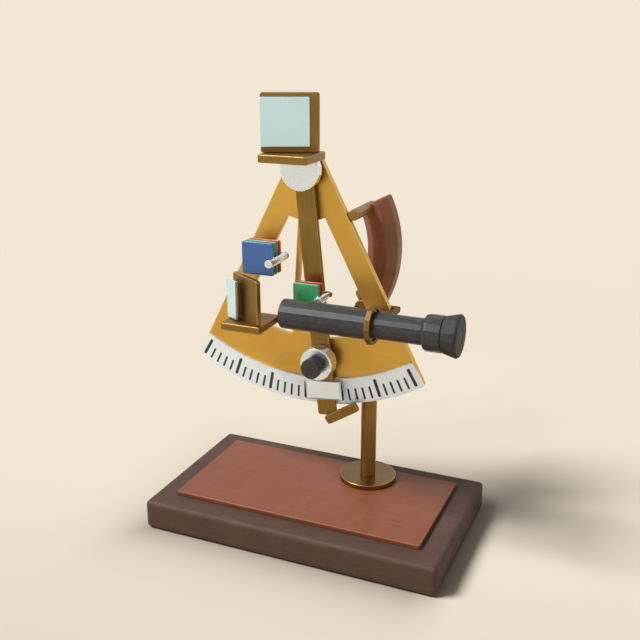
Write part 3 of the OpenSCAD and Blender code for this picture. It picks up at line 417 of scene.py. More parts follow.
class Graph:
    """A thin helper that adds nodes and links to one node tree."""

    def __init__(self, tree: bpy.types.NodeTree) -> None:
        """Keeps the tree that the nodes go in."""
        self.tree = tree

    def node(self, kind: str, **settings: object) -> Node:
        """Adds a node and sets its properties."""
        made = self.tree.nodes.new(kind)
        for key, value in settings.items():
            setattr(made, key, value)
        return made

    def link(self, source: Socket, target: Socket) -> None:
        """Links two sockets."""
        self.tree.links.new(source, target)

    def feed(self, target: Socket, value: object) -> None:
        """Links a socket, or sets a plain value."""
        if isinstance(value, Socket):
            self.link(value, target)
        else:
            target.default_value = value

    def maths(self, operation: str, a: object, b: object = 0.0, clamp: bool = False) -> Socket:
        """Adds a Math node on a and b."""
        made = self.node("ShaderNodeMath", operation=operation, use_clamp=clamp)
        self.feed(made.inputs[0], a)
        self.feed(made.inputs[1], b)
        return made.outputs[0]

    def mix(self, factor: object, a: object, b: object, blend: str = "MIX") -> Socket:
        """Mixes two colours."""
        made = self.node("ShaderNodeMix", data_type="RGBA", blend_type=blend)
        self.feed(made.inputs["Factor"], factor)
        self.feed(made.inputs[6], a)
        self.feed(made.inputs[7], b)
        return made.outputs[2]

    def span(self, value: object, low: object, high: object, to_low: object = 0.0,
             to_high: object = 1.0) -> Socket:
        """Maps a value from one range to another, clamped."""
        made = self.node("ShaderNodeMapRange")
        for socket, v in zip(made.inputs[:5], (value, low, high, to_low, to_high)):
            self.feed(socket, v)
        return made.outputs[0]

    def noise(self, vector: object, scale: object, detail: float = 3.0, rough: float = 0.55) -> Socket:
        """Adds a noise texture and gives its value."""
        made = self.node("ShaderNodeTexNoise")
        self.feed(made.inputs["Vector"], vector)
        self.feed(made.inputs["Scale"], scale)
        made.inputs["Detail"].default_value = detail
        made.inputs["Roughness"].default_value = rough
        return made.outputs["Fac"]

    def vector(self, operation: str, a: object, b: object = (0.0, 0.0, 0.0)) -> Node:
        """Adds a Vector Math node on a and b."""
        made = self.node("ShaderNodeVectorMath", operation=operation)
        self.feed(made.inputs[0], a)
        self.feed(made.inputs[1], b)
        return made

    def stretched(self, vector: object, scale: object) -> Socket:
        """Scales a vector by another."""
        return self.vector("MULTIPLY", vector, scale).outputs[0]

    def plus(self, a: object, b: object, clamp: bool = False) -> Socket:
        """Gives a + b."""
        return self.maths("ADD", a, b, clamp)

    def less(self, a: object, b: object) -> Socket:
        """Gives a - b."""
        return self.maths("SUBTRACT", a, b)

    def times(self, a: object, b: object, clamp: bool = False) -> Socket:
        """Gives a times b."""
        return self.maths("MULTIPLY", a, b, clamp)


def new_group(name: str, vectors: Sequence[str], colours: Sequence[str], values: Sequence[str]
              ) -> tuple[bpy.types.NodeTree, Graph, bpy.types.NodeOutputs, bpy.types.NodeInputs]:
    """Makes an empty effect: a shader group that gives a colour, a roughness and a height.

    Args:
        name: the group's name.
        vectors: names of its vector inputs.
        colours: names of its colour inputs.
        values: names of its plain inputs, besides the three that every effect has.

    Returns:
        The tree, its helper, and the sockets of its inputs and its outputs.
    """
    tree = bpy.data.node_groups.new(name, "ShaderNodeTree")
    kinds = (("NodeSocketVector", vectors), ("NodeSocketColor", colours),
             ("NodeSocketFloat", ("Wear", "Roughness", "Rub Amount", *values)))
    for kind, labels in kinds:
        for label in labels:
            tree.interface.new_socket(label, in_out="INPUT", socket_type=kind)
    for label, kind in (("Color", "NodeSocketColor"), ("Roughness", "NodeSocketFloat"), ("Height", "NodeSocketFloat")):
        tree.interface.new_socket(label, in_out="OUTPUT", socket_type=kind)
    g = Graph(tree)
    return tree, g, g.node("NodeGroupInput").outputs, g.node("NodeGroupOutput").inputs


def rubbing(g: Graph, i: bpy.types.NodeOutputs, patchy: Socket) -> Socket:
    """Gives how much an edge is rubbed: wear times the patches times the finish's amount."""
    return g.times(g.times(i["Wear"], patchy), i["Rub Amount"], clamp=True)


def metal_group() -> bpy.types.NodeTree:
    """Makes the worked-metal effect: cloudy tarnish, fine drawn lines, bright rubbed edges and specks.

    Returns:
        The group. Lines is a stretch per axis, so a small number there runs the lines along that axis.
    """
    tree, g, i, o = new_group("worked metal", ("Place", "Lines"), ("Base", "Rubbed", "Tarnish"),
                              ("Cloud Size", "Cloud Amount", "Spread"))
    place, spread = i["Place"], i["Spread"]
    cloud = g.span(g.noise(place, i["Cloud Size"], 5.0, 0.6), 0.38, 0.72)
    fine = g.noise(place, 900.0, 2.0)
    lines = g.noise(g.stretched(place, i["Lines"]), 1.0, 3.0, 0.6)
    specks = g.span(g.noise(place, 420.0, 2.0, 0.5), 0.68, 0.76)
    stain = g.plus(g.times(cloud, i["Cloud Amount"]), g.times(specks, 0.25), clamp=True)
    rub = rubbing(g, i, g.span(g.noise(place, 160.0, 4.0, 0.65), 0.25, 0.6, 0.25, 1.0))
    tint = g.mix(g.span(lines, 0.3, 0.7, 0.0, 0.14), i["Base"], i["Rubbed"])
    rough = g.plus(i["Roughness"], g.times(g.less(cloud, 0.4), spread))
    rough = g.plus(rough, g.times(g.less(lines, 0.5), spread))
    rough = g.less(rough, g.times(rub, 0.08))
    g.link(g.mix(rub, g.mix(stain, tint, i["Tarnish"]), i["Rubbed"]), o["Color"])
    g.link(g.maths("MAXIMUM", rough, 0.06), o["Roughness"])
    g.link(g.plus(lines, g.times(fine, 0.35)), o["Height"])
    return tree


def wood_group() -> bpy.types.NodeTree:
    """Makes polished wood: long growth bands, fine fibres, open pores and rubbed edges.

    Returns:
        The group. Grain is a place with the fibres along its first axis.
    """
    tree, g, i, o = new_group("polished wood", ("Grain",), ("Light", "Dark", "Pore", "Rubbed"),
                              ("Bands", "Contrast"))
    grain = i["Grain"]
    bend = g.noise(g.stretched(grain, (6.0, 22.0, 22.0)), 1.0, 2.0)
    lean = g.node("ShaderNodeCombineXYZ")
    g.link(g.times(bend, 0.03), lean.inputs[1])
    g.link(g.times(bend, 0.02), lean.inputs[2])
    shift = g.vector("ADD", grain, lean.outputs[0]).outputs[0]
    bands = g.noise(g.stretched(shift, (2.5, 1.0, 1.0)), i["Bands"], 4.0, 0.6)
    streak = g.noise(g.stretched(shift, (9.0, 420.0, 420.0)), 1.0, 4.0, 0.65)
    pore = g.span(g.noise(g.stretched(shift, (70.0, 1500.0, 1500.0)), 1.0, 2.0, 0.5), 0.62, 0.74)
    tone = g.span(g.plus(g.times(bands, 0.55), g.times(streak, 0.45)), 0.36, 0.64)
    colour = g.mix(g.times(tone, i["Contrast"]), i["Light"], i["Dark"])
    colour = g.mix(g.times(pore, 0.55), colour, i["Pore"])
    rub = rubbing(g, i, g.span(g.noise(grain, 70.0, 4.0, 0.65), 0.3, 0.6, 0.2, 1.0))
    haze = g.noise(grain, 45.0, 4.0, 0.6)
    rough = g.plus(i["Roughness"], g.times(g.less(haze, 0.5), 0.22))
    g.link(g.mix(rub, colour, i["Rubbed"]), o["Color"])
    g.link(g.plus(rough, g.times(pore, 0.12)), o["Roughness"])
    g.link(g.less(g.times(streak, 0.5), pore), o["Height"])
    return tree


def coat_group() -> bpy.types.NodeTree:
    """Makes enamel, plastic, rubber, felt or glass: a mottled colour, a fine grain and lighter rubbed edges.

    Returns:
        The group. Grain Size sets the scale of the surface's grain.
    """
    tree, g, i, o = new_group("coated surface", ("Place",), ("Base", "Shade", "Rubbed"),
                              ("Grain Size", "Mottle", "Spread"))
    place = i["Place"]
    cloud = g.noise(place, 38.0, 5.0, 0.6)
    grain = g.noise(place, i["Grain Size"], 3.0, 0.6)
    dust = g.span(g.noise(place, 620.0, 2.0, 0.5), 0.7, 0.78)
    colour = g.mix(g.times(g.span(cloud, 0.35, 0.68), i["Mottle"]), i["Base"], i["Shade"])
    rub = rubbing(g, i, g.span(g.noise(place, 210.0, 4.0, 0.7), 0.4, 0.62))
    colour = g.mix(rub, colour, i["Rubbed"])
    rough = g.plus(i["Roughness"], g.times(g.less(cloud, 0.5), i["Spread"]))
    g.link(g.mix(g.times(dust, 0.06), colour, DUST), o["Color"])
    g.link(g.less(rough, g.times(rub, 0.1)), o["Roughness"])
    g.link(grain, o["Height"])
    return tree


GROUPS = {"metal": metal_group(), "wood": wood_group(), "coat": coat_group()}


# ---------------------------------------------------------------- finishes


FEEDS = {"metallic": "Metallic", "coat": "Coat Weight", "coat_roughness": "Coat Roughness", "ior": "IOR",
         "specular": "Specular IOR Level", "sheen": "Sheen Weight"}


@dataclass(frozen=True)
class Finish:
    """The start of every finish: it feeds its own values to its effect and to a Principled shader.

    A value goes to the effect's input of the same name, or to the shader's input that FEEDS names.
    """

    name: str
    slot: str
    effect: ClassVar[str]

    def build(self) -> Material:
        """Makes the material.

        Returns:
            The new material.
        """
        material = bpy.data.materials.new(self.name)
        material.use_nodes = True
        g = Graph(material.node_tree)
        shader = next(n for n in material.node_tree.nodes if n.type == "BSDF_PRINCIPLED")
        made = g.node("ShaderNodeGroup", node_tree=GROUPS[self.effect])
        for socket in made.inputs:
            g.feed(socket, self.value(g, socket))
        for key, label in FEEDS.items():
            if hasattr(self, key):
                shader.inputs[label].default_value = getattr(self, key)
        bump = g.node("ShaderNodeBump")
        bump.inputs["Strength"].default_value = self.bump_strength
        bump.inputs["Distance"].default_value = self.bump_height
        g.link(made.outputs["Height"], bump.inputs["Height"])
        g.link(bump.outputs["Normal"], shader.inputs["Normal"])
        g.link(made.outputs["Color"], shader.inputs["Base Color"])
        g.link(made.outputs["Roughness"], shader.inputs["Roughness"])
        return material

    def value(self, g: Graph, socket: Socket) -> object:
        """Gives what one input of the effect takes: a place, a mesh attribute or the finish's own value."""
        key = socket.name.lower().replace(" ", "_")
        if key == "place":
            return g.node("ShaderNodeTexCoord").outputs["Object"]
        if key in ("wear", "grain"):
            return g.node("ShaderNodeAttribute", attribute_name=key).outputs["Fac" if key == "wear" else "Vector"]
        own = getattr(self, key)
        return linear(own) if socket.type == "RGBA" else own


@dataclass(frozen=True)
class MetalFinish(Finish):
    """Polished, lacquered or brushed metal."""

    effect: ClassVar[str] = "metal"
    base: Colour
    rubbed: Colour
    tarnish: Colour
    roughness: float = 0.34
    spread: float = 0.12
    cloud_size: float = 24.0
    cloud_amount: float = 0.3
    lines: Point = (90.0, 900.0, 900.0)
    rub_amount: float = 0.6
    metallic: float = 1.0
    bump_strength: float = 0.12
    bump_height: float = 0.00003


@dataclass(frozen=True)
class WoodFinish(Finish):
    """Varnished or oiled wood."""

    effect: ClassVar[str] = "wood"
    light: Colour
    dark: Colour
    pore: Colour
    rubbed: Colour
    bands: float = 18.0
    contrast: float = 0.8
    roughness: float = 0.45
    coat: float = 0.1
    coat_roughness: float = 0.3
    specular: float = 0.3
    rub_amount: float = 0.35
    bump_strength: float = 0.25
    bump_height: float = 0.00006


@dataclass(frozen=True)
class CoatFinish(Finish):
    """Enamel, moulded plastic, rubber or felt."""

    effect: ClassVar[str] = "coat"
    base: Colour
    shade: Colour
    rubbed: Colour
    grain_size: float = 1400.0
    mottle: float = 0.5
    roughness: float = 0.42
    spread: float = 0.14
    rub_amount: float = 0.4
    bump_strength: float = 0.2
    bump_height: float = 0.00004
    sheen: float = 0.0
    specular: float = 0.35


@dataclass(frozen=True)
class GlassFinish(Finish):
    """Mirror glass, dense filter glass or a coated lens: faintly cloudy, with wipe marks in the roughness."""

    effect: ClassVar[str] = "coat"
    base: Colour
    shade: Colour
    metallic: float = 0.0
    roughness: float = 0.06
    coat: float = 0.0
    coat_roughness: float = 0.04
    ior: float = 1.52
    grain_size: float = 60.0
    mottle: float = 0.5
    spread: float = 0.06
    rub_amount: float = 0.5
    bump_strength: float = 0.03
    bump_height: float = 0.0001

    @property
    def rubbed(self) -> Colour:
        """Gives the colour of a rubbed edge, a little lighter than the glass."""
        return tuple(min(255, c + 40) for c in self.base)


FINISHES: dict[str, Finish] = {
    "plinth_wood": WoodFinish("stained plinth wood", "plinth_wood", (97, 71, 60), (76, 55, 46), (50, 35, 30),
                              (106, 82, 71), bands=26.0, contrast=0.7, roughness=0.62, coat=0.0, rub_amount=0.15),
    "panel_wood": WoodFinish("reddish panel wood", "panel_wood", (148, 87, 58), (124, 70, 46), (86, 46, 30),
                             (182, 124, 94), bands=30.0, contrast=0.55, roughness=0.46, coat=0.05),
    "grip_wood": WoodFinish("oiled grip wood", "grip_wood", (170, 110, 82), (134, 83, 59), (82, 50, 37),
                            (176, 132, 110), bands=40.0, contrast=0.8, roughness=0.5, coat=0.05),
    "felt": CoatFinish("green felt", "felt", (52, 84, 66), (38, 66, 50), (80, 110, 90), grain_size=2600.0,
                       roughness=0.95, sheen=0.5, bump_strength=0.8, bump_height=0.0003),
    "bright_brass": MetalFinish("golden brass", "bright_brass", (217, 169, 74), (242, 204, 128), (190, 142, 58),
                                roughness=0.44, cloud_amount=0.28, lines=(60.0, 700.0, 420.0)),
    "foot_brass": MetalFinish("polished foot brass", "bright_brass", (124, 98, 58), (184, 146, 88), (96, 74, 42),
                              roughness=0.32, cloud_amount=0.35, lines=(700.0, 700.0, 90.0)),
    "dark_brass": MetalFinish("bronzed brass", "dark_brass", (143, 110, 56), (200, 156, 90), (108, 82, 40),
                              roughness=0.46, cloud_amount=0.35, lines=(500.0, 700.0, 80.0), rub_amount=0.45),
    "satin_brass": MetalFinish("satin bronzed brass", "dark_brass", (118, 92, 52), (166, 132, 80), (92, 70, 38),
                               roughness=0.62, cloud_amount=0.35, lines=(500.0, 700.0, 80.0), rub_amount=0.35),
    "gear_brass": MetalFinish("machined brass", "gear_brass", (214, 172, 98), (250, 216, 146), (170, 128, 66),
                              roughness=0.26, cloud_amount=0.2),
    "silvered_scale": MetalFinish("silvered scale", "silvered_scale", (242, 250, 255), (250, 254, 255),
                                  (230, 238, 244), roughness=0.55, cloud_amount=0.15, cloud_size=60.0,
                                  lines=(900.0, 900.0, 60.0), metallic=0.8),
    "silvered_plate": MetalFinish("silvered reading plate", "silvered_scale", (246, 253, 255), (250, 254, 255),
                                  (232, 240, 244), roughness=0.55, cloud_amount=0.15, cloud_size=60.0,
                                  lines=(60.0, 900.0, 900.0), metallic=0.95),
    "silvered_metal": MetalFinish("bright silvered metal", "silvered_metal", (228, 236, 240), (252, 255, 255),
                                  (206, 210, 210), roughness=0.28, cloud_amount=0.08, cloud_size=70.0),
    "steel": MetalFinish("machined steel", "steel", (186, 186, 186), (226, 226, 226), (140, 138, 134),
                         roughness=0.3, cloud_amount=0.25, cloud_size=80.0),
    "black_enamel": CoatFinish("dark enamel", "black_enamel", (53, 55, 58), (47, 49, 52), (116, 108, 92),
                               grain_size=2200.0, roughness=0.31, specular=0.36, rub_amount=0.35),
    "black_plastic": CoatFinish("dark knob", "black_plastic", (54, 54, 52), (46, 46, 44), (96, 96, 92),
                                grain_size=1800.0, roughness=0.5),
    "black_rubber": CoatFinish("dark rubber", "black_rubber", (49, 48, 46), (44, 43, 42), (78, 76, 73),
                               grain_size=1600.0, roughness=0.62, bump_strength=0.35),
    "fill": CoatFinish("black filling", "silvered_scale", (60, 59, 56), (52, 51, 49), (92, 92, 90),
                       roughness=0.5, rub_amount=0.2),
    "mirror_glass": GlassFinish("silvered mirror", "mirror_glass", (216, 246, 255), (210, 242, 255),
                                metallic=0.7, roughness=0.2),
    "lens_glass": GlassFinish("coated lens", "lens_glass", (50, 49, 48), (46, 46, 46), roughness=0.6),
    "blue_glass": GlassFinish("blue filter", "blue_glass", (56, 104, 172), (48, 94, 158), roughness=0.24, coat=0.3),
    "green_glass": GlassFinish("green filter", "green_glass", (68, 176, 114), (60, 160, 104), roughness=0.24, coat=0.3),
    "red_glass": GlassFinish("red filter", "red_glass", (208, 62, 46), (184, 52, 40), roughness=0.24, coat=0.3),
}


class Workshop:
    """Dresses pieces: keeps each finish's material and notes what each piece is."""

    def __init__(self) -> None:
        """Starts with no material made."""
        self.materials: dict[str, Material] = {}

    def material(self, key: str) -> Material:
        """Gives a finish's material, made once."""
        if key not in self.materials:
            self.materials[key] = FINISHES[key].build()
        return self.materials[key]

    def fit(self, draft: Draft, name: str, body: str, key: str, *nodes: str, sharp: float = 40.0) -> bpy.types.Object:
        """Builds a piece, gives it its finish, and sets the body it rides on and the nodes it stands for.

        Args:
            draft: the piece's points and faces.
            name: the piece's name.
            body: the CAD body that it moves with.
            key: the finish.
            nodes: the CAD nodes that it replaces.
            sharp: the angle over which an edge stays crisp.

        Returns:
            The finished object.
        """
        obj = draft.build(name, sharp)
        obj.data.materials.append(self.material(key))
        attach(obj, body)
        if nodes:
            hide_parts(*nodes)
        log.info("%-22s %6d faces, %s, on %s", name, len(obj.data.polygons), FINISHES[key].name, body)
        return obj

    def keep(self, key: str, *nodes: str) -> None:
        """Keeps CAD nodes as they are, and gives their slots a finish."""
        for node in nodes:
            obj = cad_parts[node]
            for slot in obj.material_slots:
                slot.material = self.material(key)
            log.info("%-22s kept, %s", node, FINISHES[key].name)


SHOP = Workshop()


# ---------------------------------------------------------------- the object


@dataclass
class Stand:
    """The plinth with its panel, the brass foot, the column and the bracket behind the frame."""

    length: float = 260.0
    width: float = 150.0
    low: float = 0.4
    top: float = 26.0
    edge: float = 4.5
    panel_l: float = 220.0
    panel_w: float = 110.0
    panel_top: float = 30.0
    column_x: float = 34.0
    column_y: float = 34.25
    foot_r: float = 25.0
    foot_top: float = 34.5
    foot_rim: float = 0.8
    column_r: float = 6.75
    column_top: float = 112.0

    def build(self) -> None:
        """Makes the stand's pieces."""
        hl, hw = self.length / 2, self.width / 2
        plinth = Draft().slab([box_outline(-hl, hl, -hw, hw, self.edge)], self.low, self.top,
                              self.edge - 0.5, 8, 0.4, Facing.TABLE)
        SHOP.fit(plinth, "plinth_body", "stand", "plinth_wood", "plinth")
        pl, pw = self.panel_l / 2, self.panel_w / 2
        panel = Draft().slab([box_outline(-pl, pl, -pw, pw, 1.5)], self.top, self.panel_top, 0.9, 5, 0.5, Facing.TABLE)
        SHOP.fit(panel, "raised_panel", "stand", "panel_wood", "inlay_panel")
        self.foot()
        SHOP.keep("bright_brass", "frame_bracket")
        SHOP.keep("felt", "base_felt")
        SHOP.keep("steel", "stand_bolt")

    def foot(self) -> None:
        """Makes the foot, a flat disc with a rounded rim, and the column that stands on it."""
        centre = (self.column_x, self.column_y)
        t = np.linspace(0, np.pi / 2, 7)
        e = self.foot_rim
        rim = [(self.foot_top - e + e * math.sin(a), self.foot_r - e + e * math.cos(a), 0.3 + 0.5 * math.sin(2 * a))
               for a in t]
        profile = [(self.panel_top, self.foot_r - 1.0), (self.panel_top, self.foot_r - 0.4, 0.3),
                   (self.panel_top + 0.4, self.foot_r, 0.5), (self.panel_top + 1.2, self.foot_r)]
        profile += rim + [(self.foot_top, self.foot_r - 3.0), (self.foot_top, 9.5), (self.foot_top, 6.0)]
        foot = Draft().turned(profile, "z", centre)
        SHOP.fit(foot, "foot_disc", "stand", "foot_brass", "stand_foot", sharp=60)
        column = Draft().turned(rod(self.foot_top, self.column_top, self.column_r, 0.3), "z", centre)
        SHOP.fit(column, "column", "stand", "dark_brass", "stand_column")


@dataclass
class Frame:
    """The brass frame, the silvered scale with its rack and divisions, and the small parts behind."""

    limb_outer: float = 16.0
    limb_w: float = 19.1
    hub_r: float = 16.15
    web_r: float = 43.5
    arc_inner: float = 145.5
    middle_sill: float = 3.6
    rim_r: float = 203.4
    strut_w: float = 3.7
    strut_lean: float = 3.6
    strut_offset: float = 2.75
    scale_front: float = 19.8
    scale_outer: float = 203.8
    scale_half: float = 31.7
    module: float = 0.6
    teeth: int = 604
    line_out: float = 201.2
    line_span: float = 30.0
    line_step: float = 2.0
    major: tuple[float, float] = (2.8, 16.3)
    minor: tuple[float, float] = (1.9, 10.8)

    def on_line(self, lean: float, across: float, radius: float) -> Array:
        """Gives the point where a line through the hub's ground meets a circle about the hub.

        The line leans by lean degrees from the downward one and passes across mm outward of the hub.
        """
        a = math.radians(lean)
        along = math.sqrt(radius ** 2 - across ** 2)
        return np.array([across * math.cos(a) + along * math.sin(a), across * math.sin(a) - along * math.cos(a)])

    def window(self, inner: tuple[float, float], outer: tuple[float, float], sill: float = 0.0) -> Array:
        """Gives one opening's outline, clockwise.

        Args:
            inner: (lean, across) of its left side.
            outer: (lean, across) of its right side.
            sill: how far its lower edge stands above the arc's inner edge.

        Returns:
            The outline, with its corners rounded.
        """
        reach = self.arc_inner - sill
        a, b = self.on_line(*inner, self.web_r), self.on_line(*outer, self.web_r)
        c, d = self.on_line(*outer, reach), self.on_line(*inner, reach)
        top = arc(self.web_r, bearing(a), bearing(b), 12)
        low = arc(reach, bearing(c), bearing(d), 40)
        return rounded(np.concatenate([top, low]), 0.8, 4)

    def outline(self) -> Array:
        """Gives the frame's outer outline: over the hub, down the left limb, along the arc and back up."""
        right_hub = self.on_line(LIMB_TILT, self.limb_outer, self.hub_r)
        right_foot = self.on_line(LIMB_TILT, self.limb_outer, self.rim_r)
        over = arc(self.hub_r, bearing(right_hub), 360 - bearing(right_hub), 60)
        under = arc(self.rim_r, -bearing(right_foot), bearing(right_foot), 140)
        return rounded(np.concatenate([over, under]), 0.5, 4)

    def build(self) -> None:
        """Makes the frame's pieces."""
        limb = (LIMB_TILT, self.limb_outer - self.limb_w)
        near = (self.strut_lean, self.strut_offset - self.strut_w / 2)
        far = (self.strut_lean, self.strut_offset + self.strut_w / 2)
        right = self.window(far, limb)
        middle = self.window((-near[0], -near[1]), near, self.middle_sill)
        left = right[::-1] * np.array([-1, 1])
        plate = Draft().slab([self.outline(), right, middle, left], FRAME_FRONT, FRAME_BACK, 0.45, 3, 0.7,
                             place=HUB.on_frame)
        SHOP.fit(plate, "frame_plate", "stand", "bright_brass", "frame")
        self.scale()
        SHOP.keep("steel", "frame_screws")
        SHOP.keep("gear_brass", "pivot_bush")

    def scale(self) -> None:
        """Makes the scale plate with its toothed inner edge, and the black divisions let into its face."""
        pitch = 360 / self.teeth
        root = self.module * self.teeth / 2 + 1.25 * self.module
        tip = self.module * self.teeth / 2 - self.module
        first = math.floor((HUB.arm_angle + self.scale_half) / pitch)
        centres = HUB.arm_angle + pitch * np.arange(-first, int((self.scale_half - HUB.arm_angle) / pitch) + 1)
        centres = centres[np.abs(centres) < self.scale_half - 0.3]
        shape = np.array([[0.44, 0], [0.14, 1], [-0.14, 1], [-0.44, 0]])
        angles = (centres[::-1, None] + pitch * shape[None, :, 0]).reshape(-1)
        radii = np.tile(root + (tip - root) * shape[:, 1], len(centres))
        a = np.radians(angles)
        inner = np.stack([radii * np.sin(a), -radii * np.cos(a)], 1)
        ends = arc(root, self.scale_half, self.scale_half, 1), arc(root, -self.scale_half, -self.scale_half, 1)
        outer = arc(self.scale_outer, -self.scale_half, self.scale_half, 160)
        loop = np.concatenate([outer, ends[0], inner, ends[1]])
        plate = Draft().slab([loop], self.scale_front, FRAME_FRONT, 0.12, 2, 0.1, place=HUB.on_frame)
        SHOP.fit(plate, "scale_plate", "stand", "silvered_scale", "arc_scale", sharp=25)
        lines = Draft()
        for angle in np.arange(-self.line_span, self.line_span + 0.1, self.line_step):
            major = abs(angle / 10 - round(angle / 10)) < 0.01
            wide, long = self.major if major else self.minor
            bar = box_outline(-wide / 2, wide / 2, -self.line_out, -self.line_out + long, wide / 2 - 0.1)
            lines.slab([bar], self.scale_front - 0.06, self.scale_front + 0.2, 0.05, 1, 0.1,
                       place=lambda p, t=angle: HUB.on_frame(turn_y(p, -t)))
        SHOP.fit(lines, "divisions", "stand", "fill")


@dataclass
class IndexArm:
    """The swinging arm with its cap, vernier plate, shelf and index mirror, and the hub behind."""

    width: float = 16.8
    front: float = 15.2
    back: float = 18.8
    reach: float = 213.0
    hub_r: float = 15.0
    cap_r: float = 17.5
    cap_front: float = 8.8
    shelf_low: float = 313.9
    shelf_top: float = 320.3
    yaw: float = 23.3
    mirror_at: tuple[float, float] = (-21.1, -5.0)

    def build(self) -> None:
        """Makes the arm's pieces."""
        self.bar()
        self.cap()
        plate = Draft().slab([box_outline(-17, 15.6, -198.35, -181.85, 0.4)], self.front - 1.5, self.front, 0.35, 3,
                             0.6, place=HUB.on_arm)
        SHOP.fit(plate, "reading_plate", "arm", "silvered_plate", "vernier_plate")
        self.mirror()
        SHOP.keep("steel", "spindle", "shelf_screws", "pinion_stud")
        SHOP.keep("gear_brass", "spindle_nut")

    def bar(self) -> None:
        """Makes the arm: a straight bar from the hub's disc down to a foot with a lug for the lever's pin."""
        hw = self.width / 2
        half = math.degrees(math.asin(hw / self.hub_r))
        over = arc(self.hub_r, half, 360 - half, 48)
        foot = np.array([[-hw, -self.reach], [1.9, -self.reach], [3.2, -self.reach - 4.3], [5.0, -self.reach - 5.0],
                         [7.2, -self.reach - 4.2], [hw - 0.1, -self.reach - 2.0], [hw, -self.reach - 0.2]])
        loop = rounded(np.concatenate([over, foot]), 1.8, 5)
        arm = Draft().slab([loop], self.front, self.back, 0.5, 3, 0.7, place=HUB.on_arm)
        SHOP.fit(arm, "arm_bar", "arm", "dark_brass", "index_arm")

    def cap(self) -> None:
        """Makes the silver cap: a sixteen-sided disc, cut level under the mirror's shelf."""
        top = self.shelf_low - HUB.z
        a = np.radians(np.arange(16) * 22.5 + 11.25)
        ring = np.stack([self.cap_r * np.sin(a), -self.cap_r * np.cos(a)], 1)
        below = ring[ring[:, 1] < top]
        half = math.sqrt(self.cap_r ** 2 - top ** 2) * 0.985
        below = below[np.argsort(np.arctan2(below[:, 0], -below[:, 1]))]
        loop = np.concatenate([[[-half, top]], below, [[half, top]]])
        disc = Draft().slab([rounded(loop, 0.5, 2, sharp=10)], self.cap_front, self.front, 0.7, 3, 0.8,
                            place=HUB.on_frame)
        SHOP.fit(disc, "hub_cap", "arm", "silvered_metal", "pivot_cap", sharp=35)

    def mirror(self) -> None:
        """Makes the mirror's shelf, its upright back and the glass on its face."""
        shelf = Draft().slab([box_outline(-41, 1, -24, 15, 3.0)], self.shelf_low, self.shelf_top, 0.8, 4, 0.5,
                             Facing.TABLE)
        SHOP.fit(shelf, "mirror_shelf", "arm", "dark_brass", "index_shelf")
        place = lambda p: turn_z(p, self.yaw) + np.array([*self.mirror_at, self.shelf_top])
        back = Draft().slab([box_outline(-23.1, 23.1, 0, 45.9, 2.2)], 0.0, 3.5, 0.7, 4, 0.8, place=place)
        SHOP.fit(back, "mirror_back", "arm", "dark_brass", "index_back")
        glass = Draft().slab([box_outline(-23.1, 15.3, 4.6, 42.6, 1.3)], -2.6, 0.0, 0.5, 3, 0.6, place=place)
        SHOP.fit(glass, "mirror_glass", "arm", "mirror_glass", "index_glass")


@dataclass
class Drum:
    """The silver drum and its dark knob, on a shaft with the drive wheel behind."""

    reach: float = 162.6
    radius: float = 14.6
    front: float = 2.0
    back: float = 14.5
    knob_r: float = 8.7
    knob_front: float = -10.0
    knob_back: float = -3.0
    neck_r: float = 4.5

    def build(self) -> None:
        """Makes the drum's pieces."""
        place = lambda p: HUB.on_arm(p + np.array([0, 0, -self.reach]))
        drum = Draft().turned(rod(self.front, self.back, self.radius, 1.0), "y", (0, 0), Section.SIXTEEN, 0.5,
                              place=place)
        SHOP.fit(drum, "drum_body", "drum", "silvered_metal", "micrometer_drum")
        knob = Draft().turned(rod(self.knob_front, self.knob_back, self.knob_r, 0.9), "y", (0, 0), Section.SIXTEEN,
                              0.5, place=place)
        knob.turned(rod(self.knob_back - 1, self.front, self.neck_r, 0.2), "y", (0, 0), place=place)
        SHOP.fit(knob, "drum_knob_cap", "drum", "black_plastic", "drum_knob")
        SHOP.keep("steel", "drum_shaft")
        SHOP.keep("gear_brass", "drive_pinion")


@dataclass
class Lever:
    """The brake lever on the arm's foot, with its shoe on the frame's rim and its spring."""

    pin: tuple[float, float] = (5.0, 214.6)
    tilt: float = 26.3
    length: float = 33.0
    tail: float = 5.3
    width: float = 8.2
    front: float = 11.0
    back: float = 15.0

    def at_pin(self, points: Array) -> Array:
        """Moves points of the lever's own frame, which runs out along +X, to their place at rest."""
        return HUB.on_arm(turn_y(points, -self.tilt) + np.array([self.pin[0], 0, -self.pin[1]]))

    def build(self) -> None:
        """Makes the lever's pieces."""
        w = self.width / 2
        bar = Draft().slab([box_outline(-self.tail, self.length - self.tail, -w, w, 2.6)], self.front, self.back,
                           0.6, 4, 0.7, place=self.at_pin)
        SHOP.fit(bar, "lever_bar", "lever", "dark_brass", "clamp_lever")
        SHOP.keep("steel", "clamp_shoe", "lever_spring")
        SHOP.keep("dark_brass", "lever_pin")


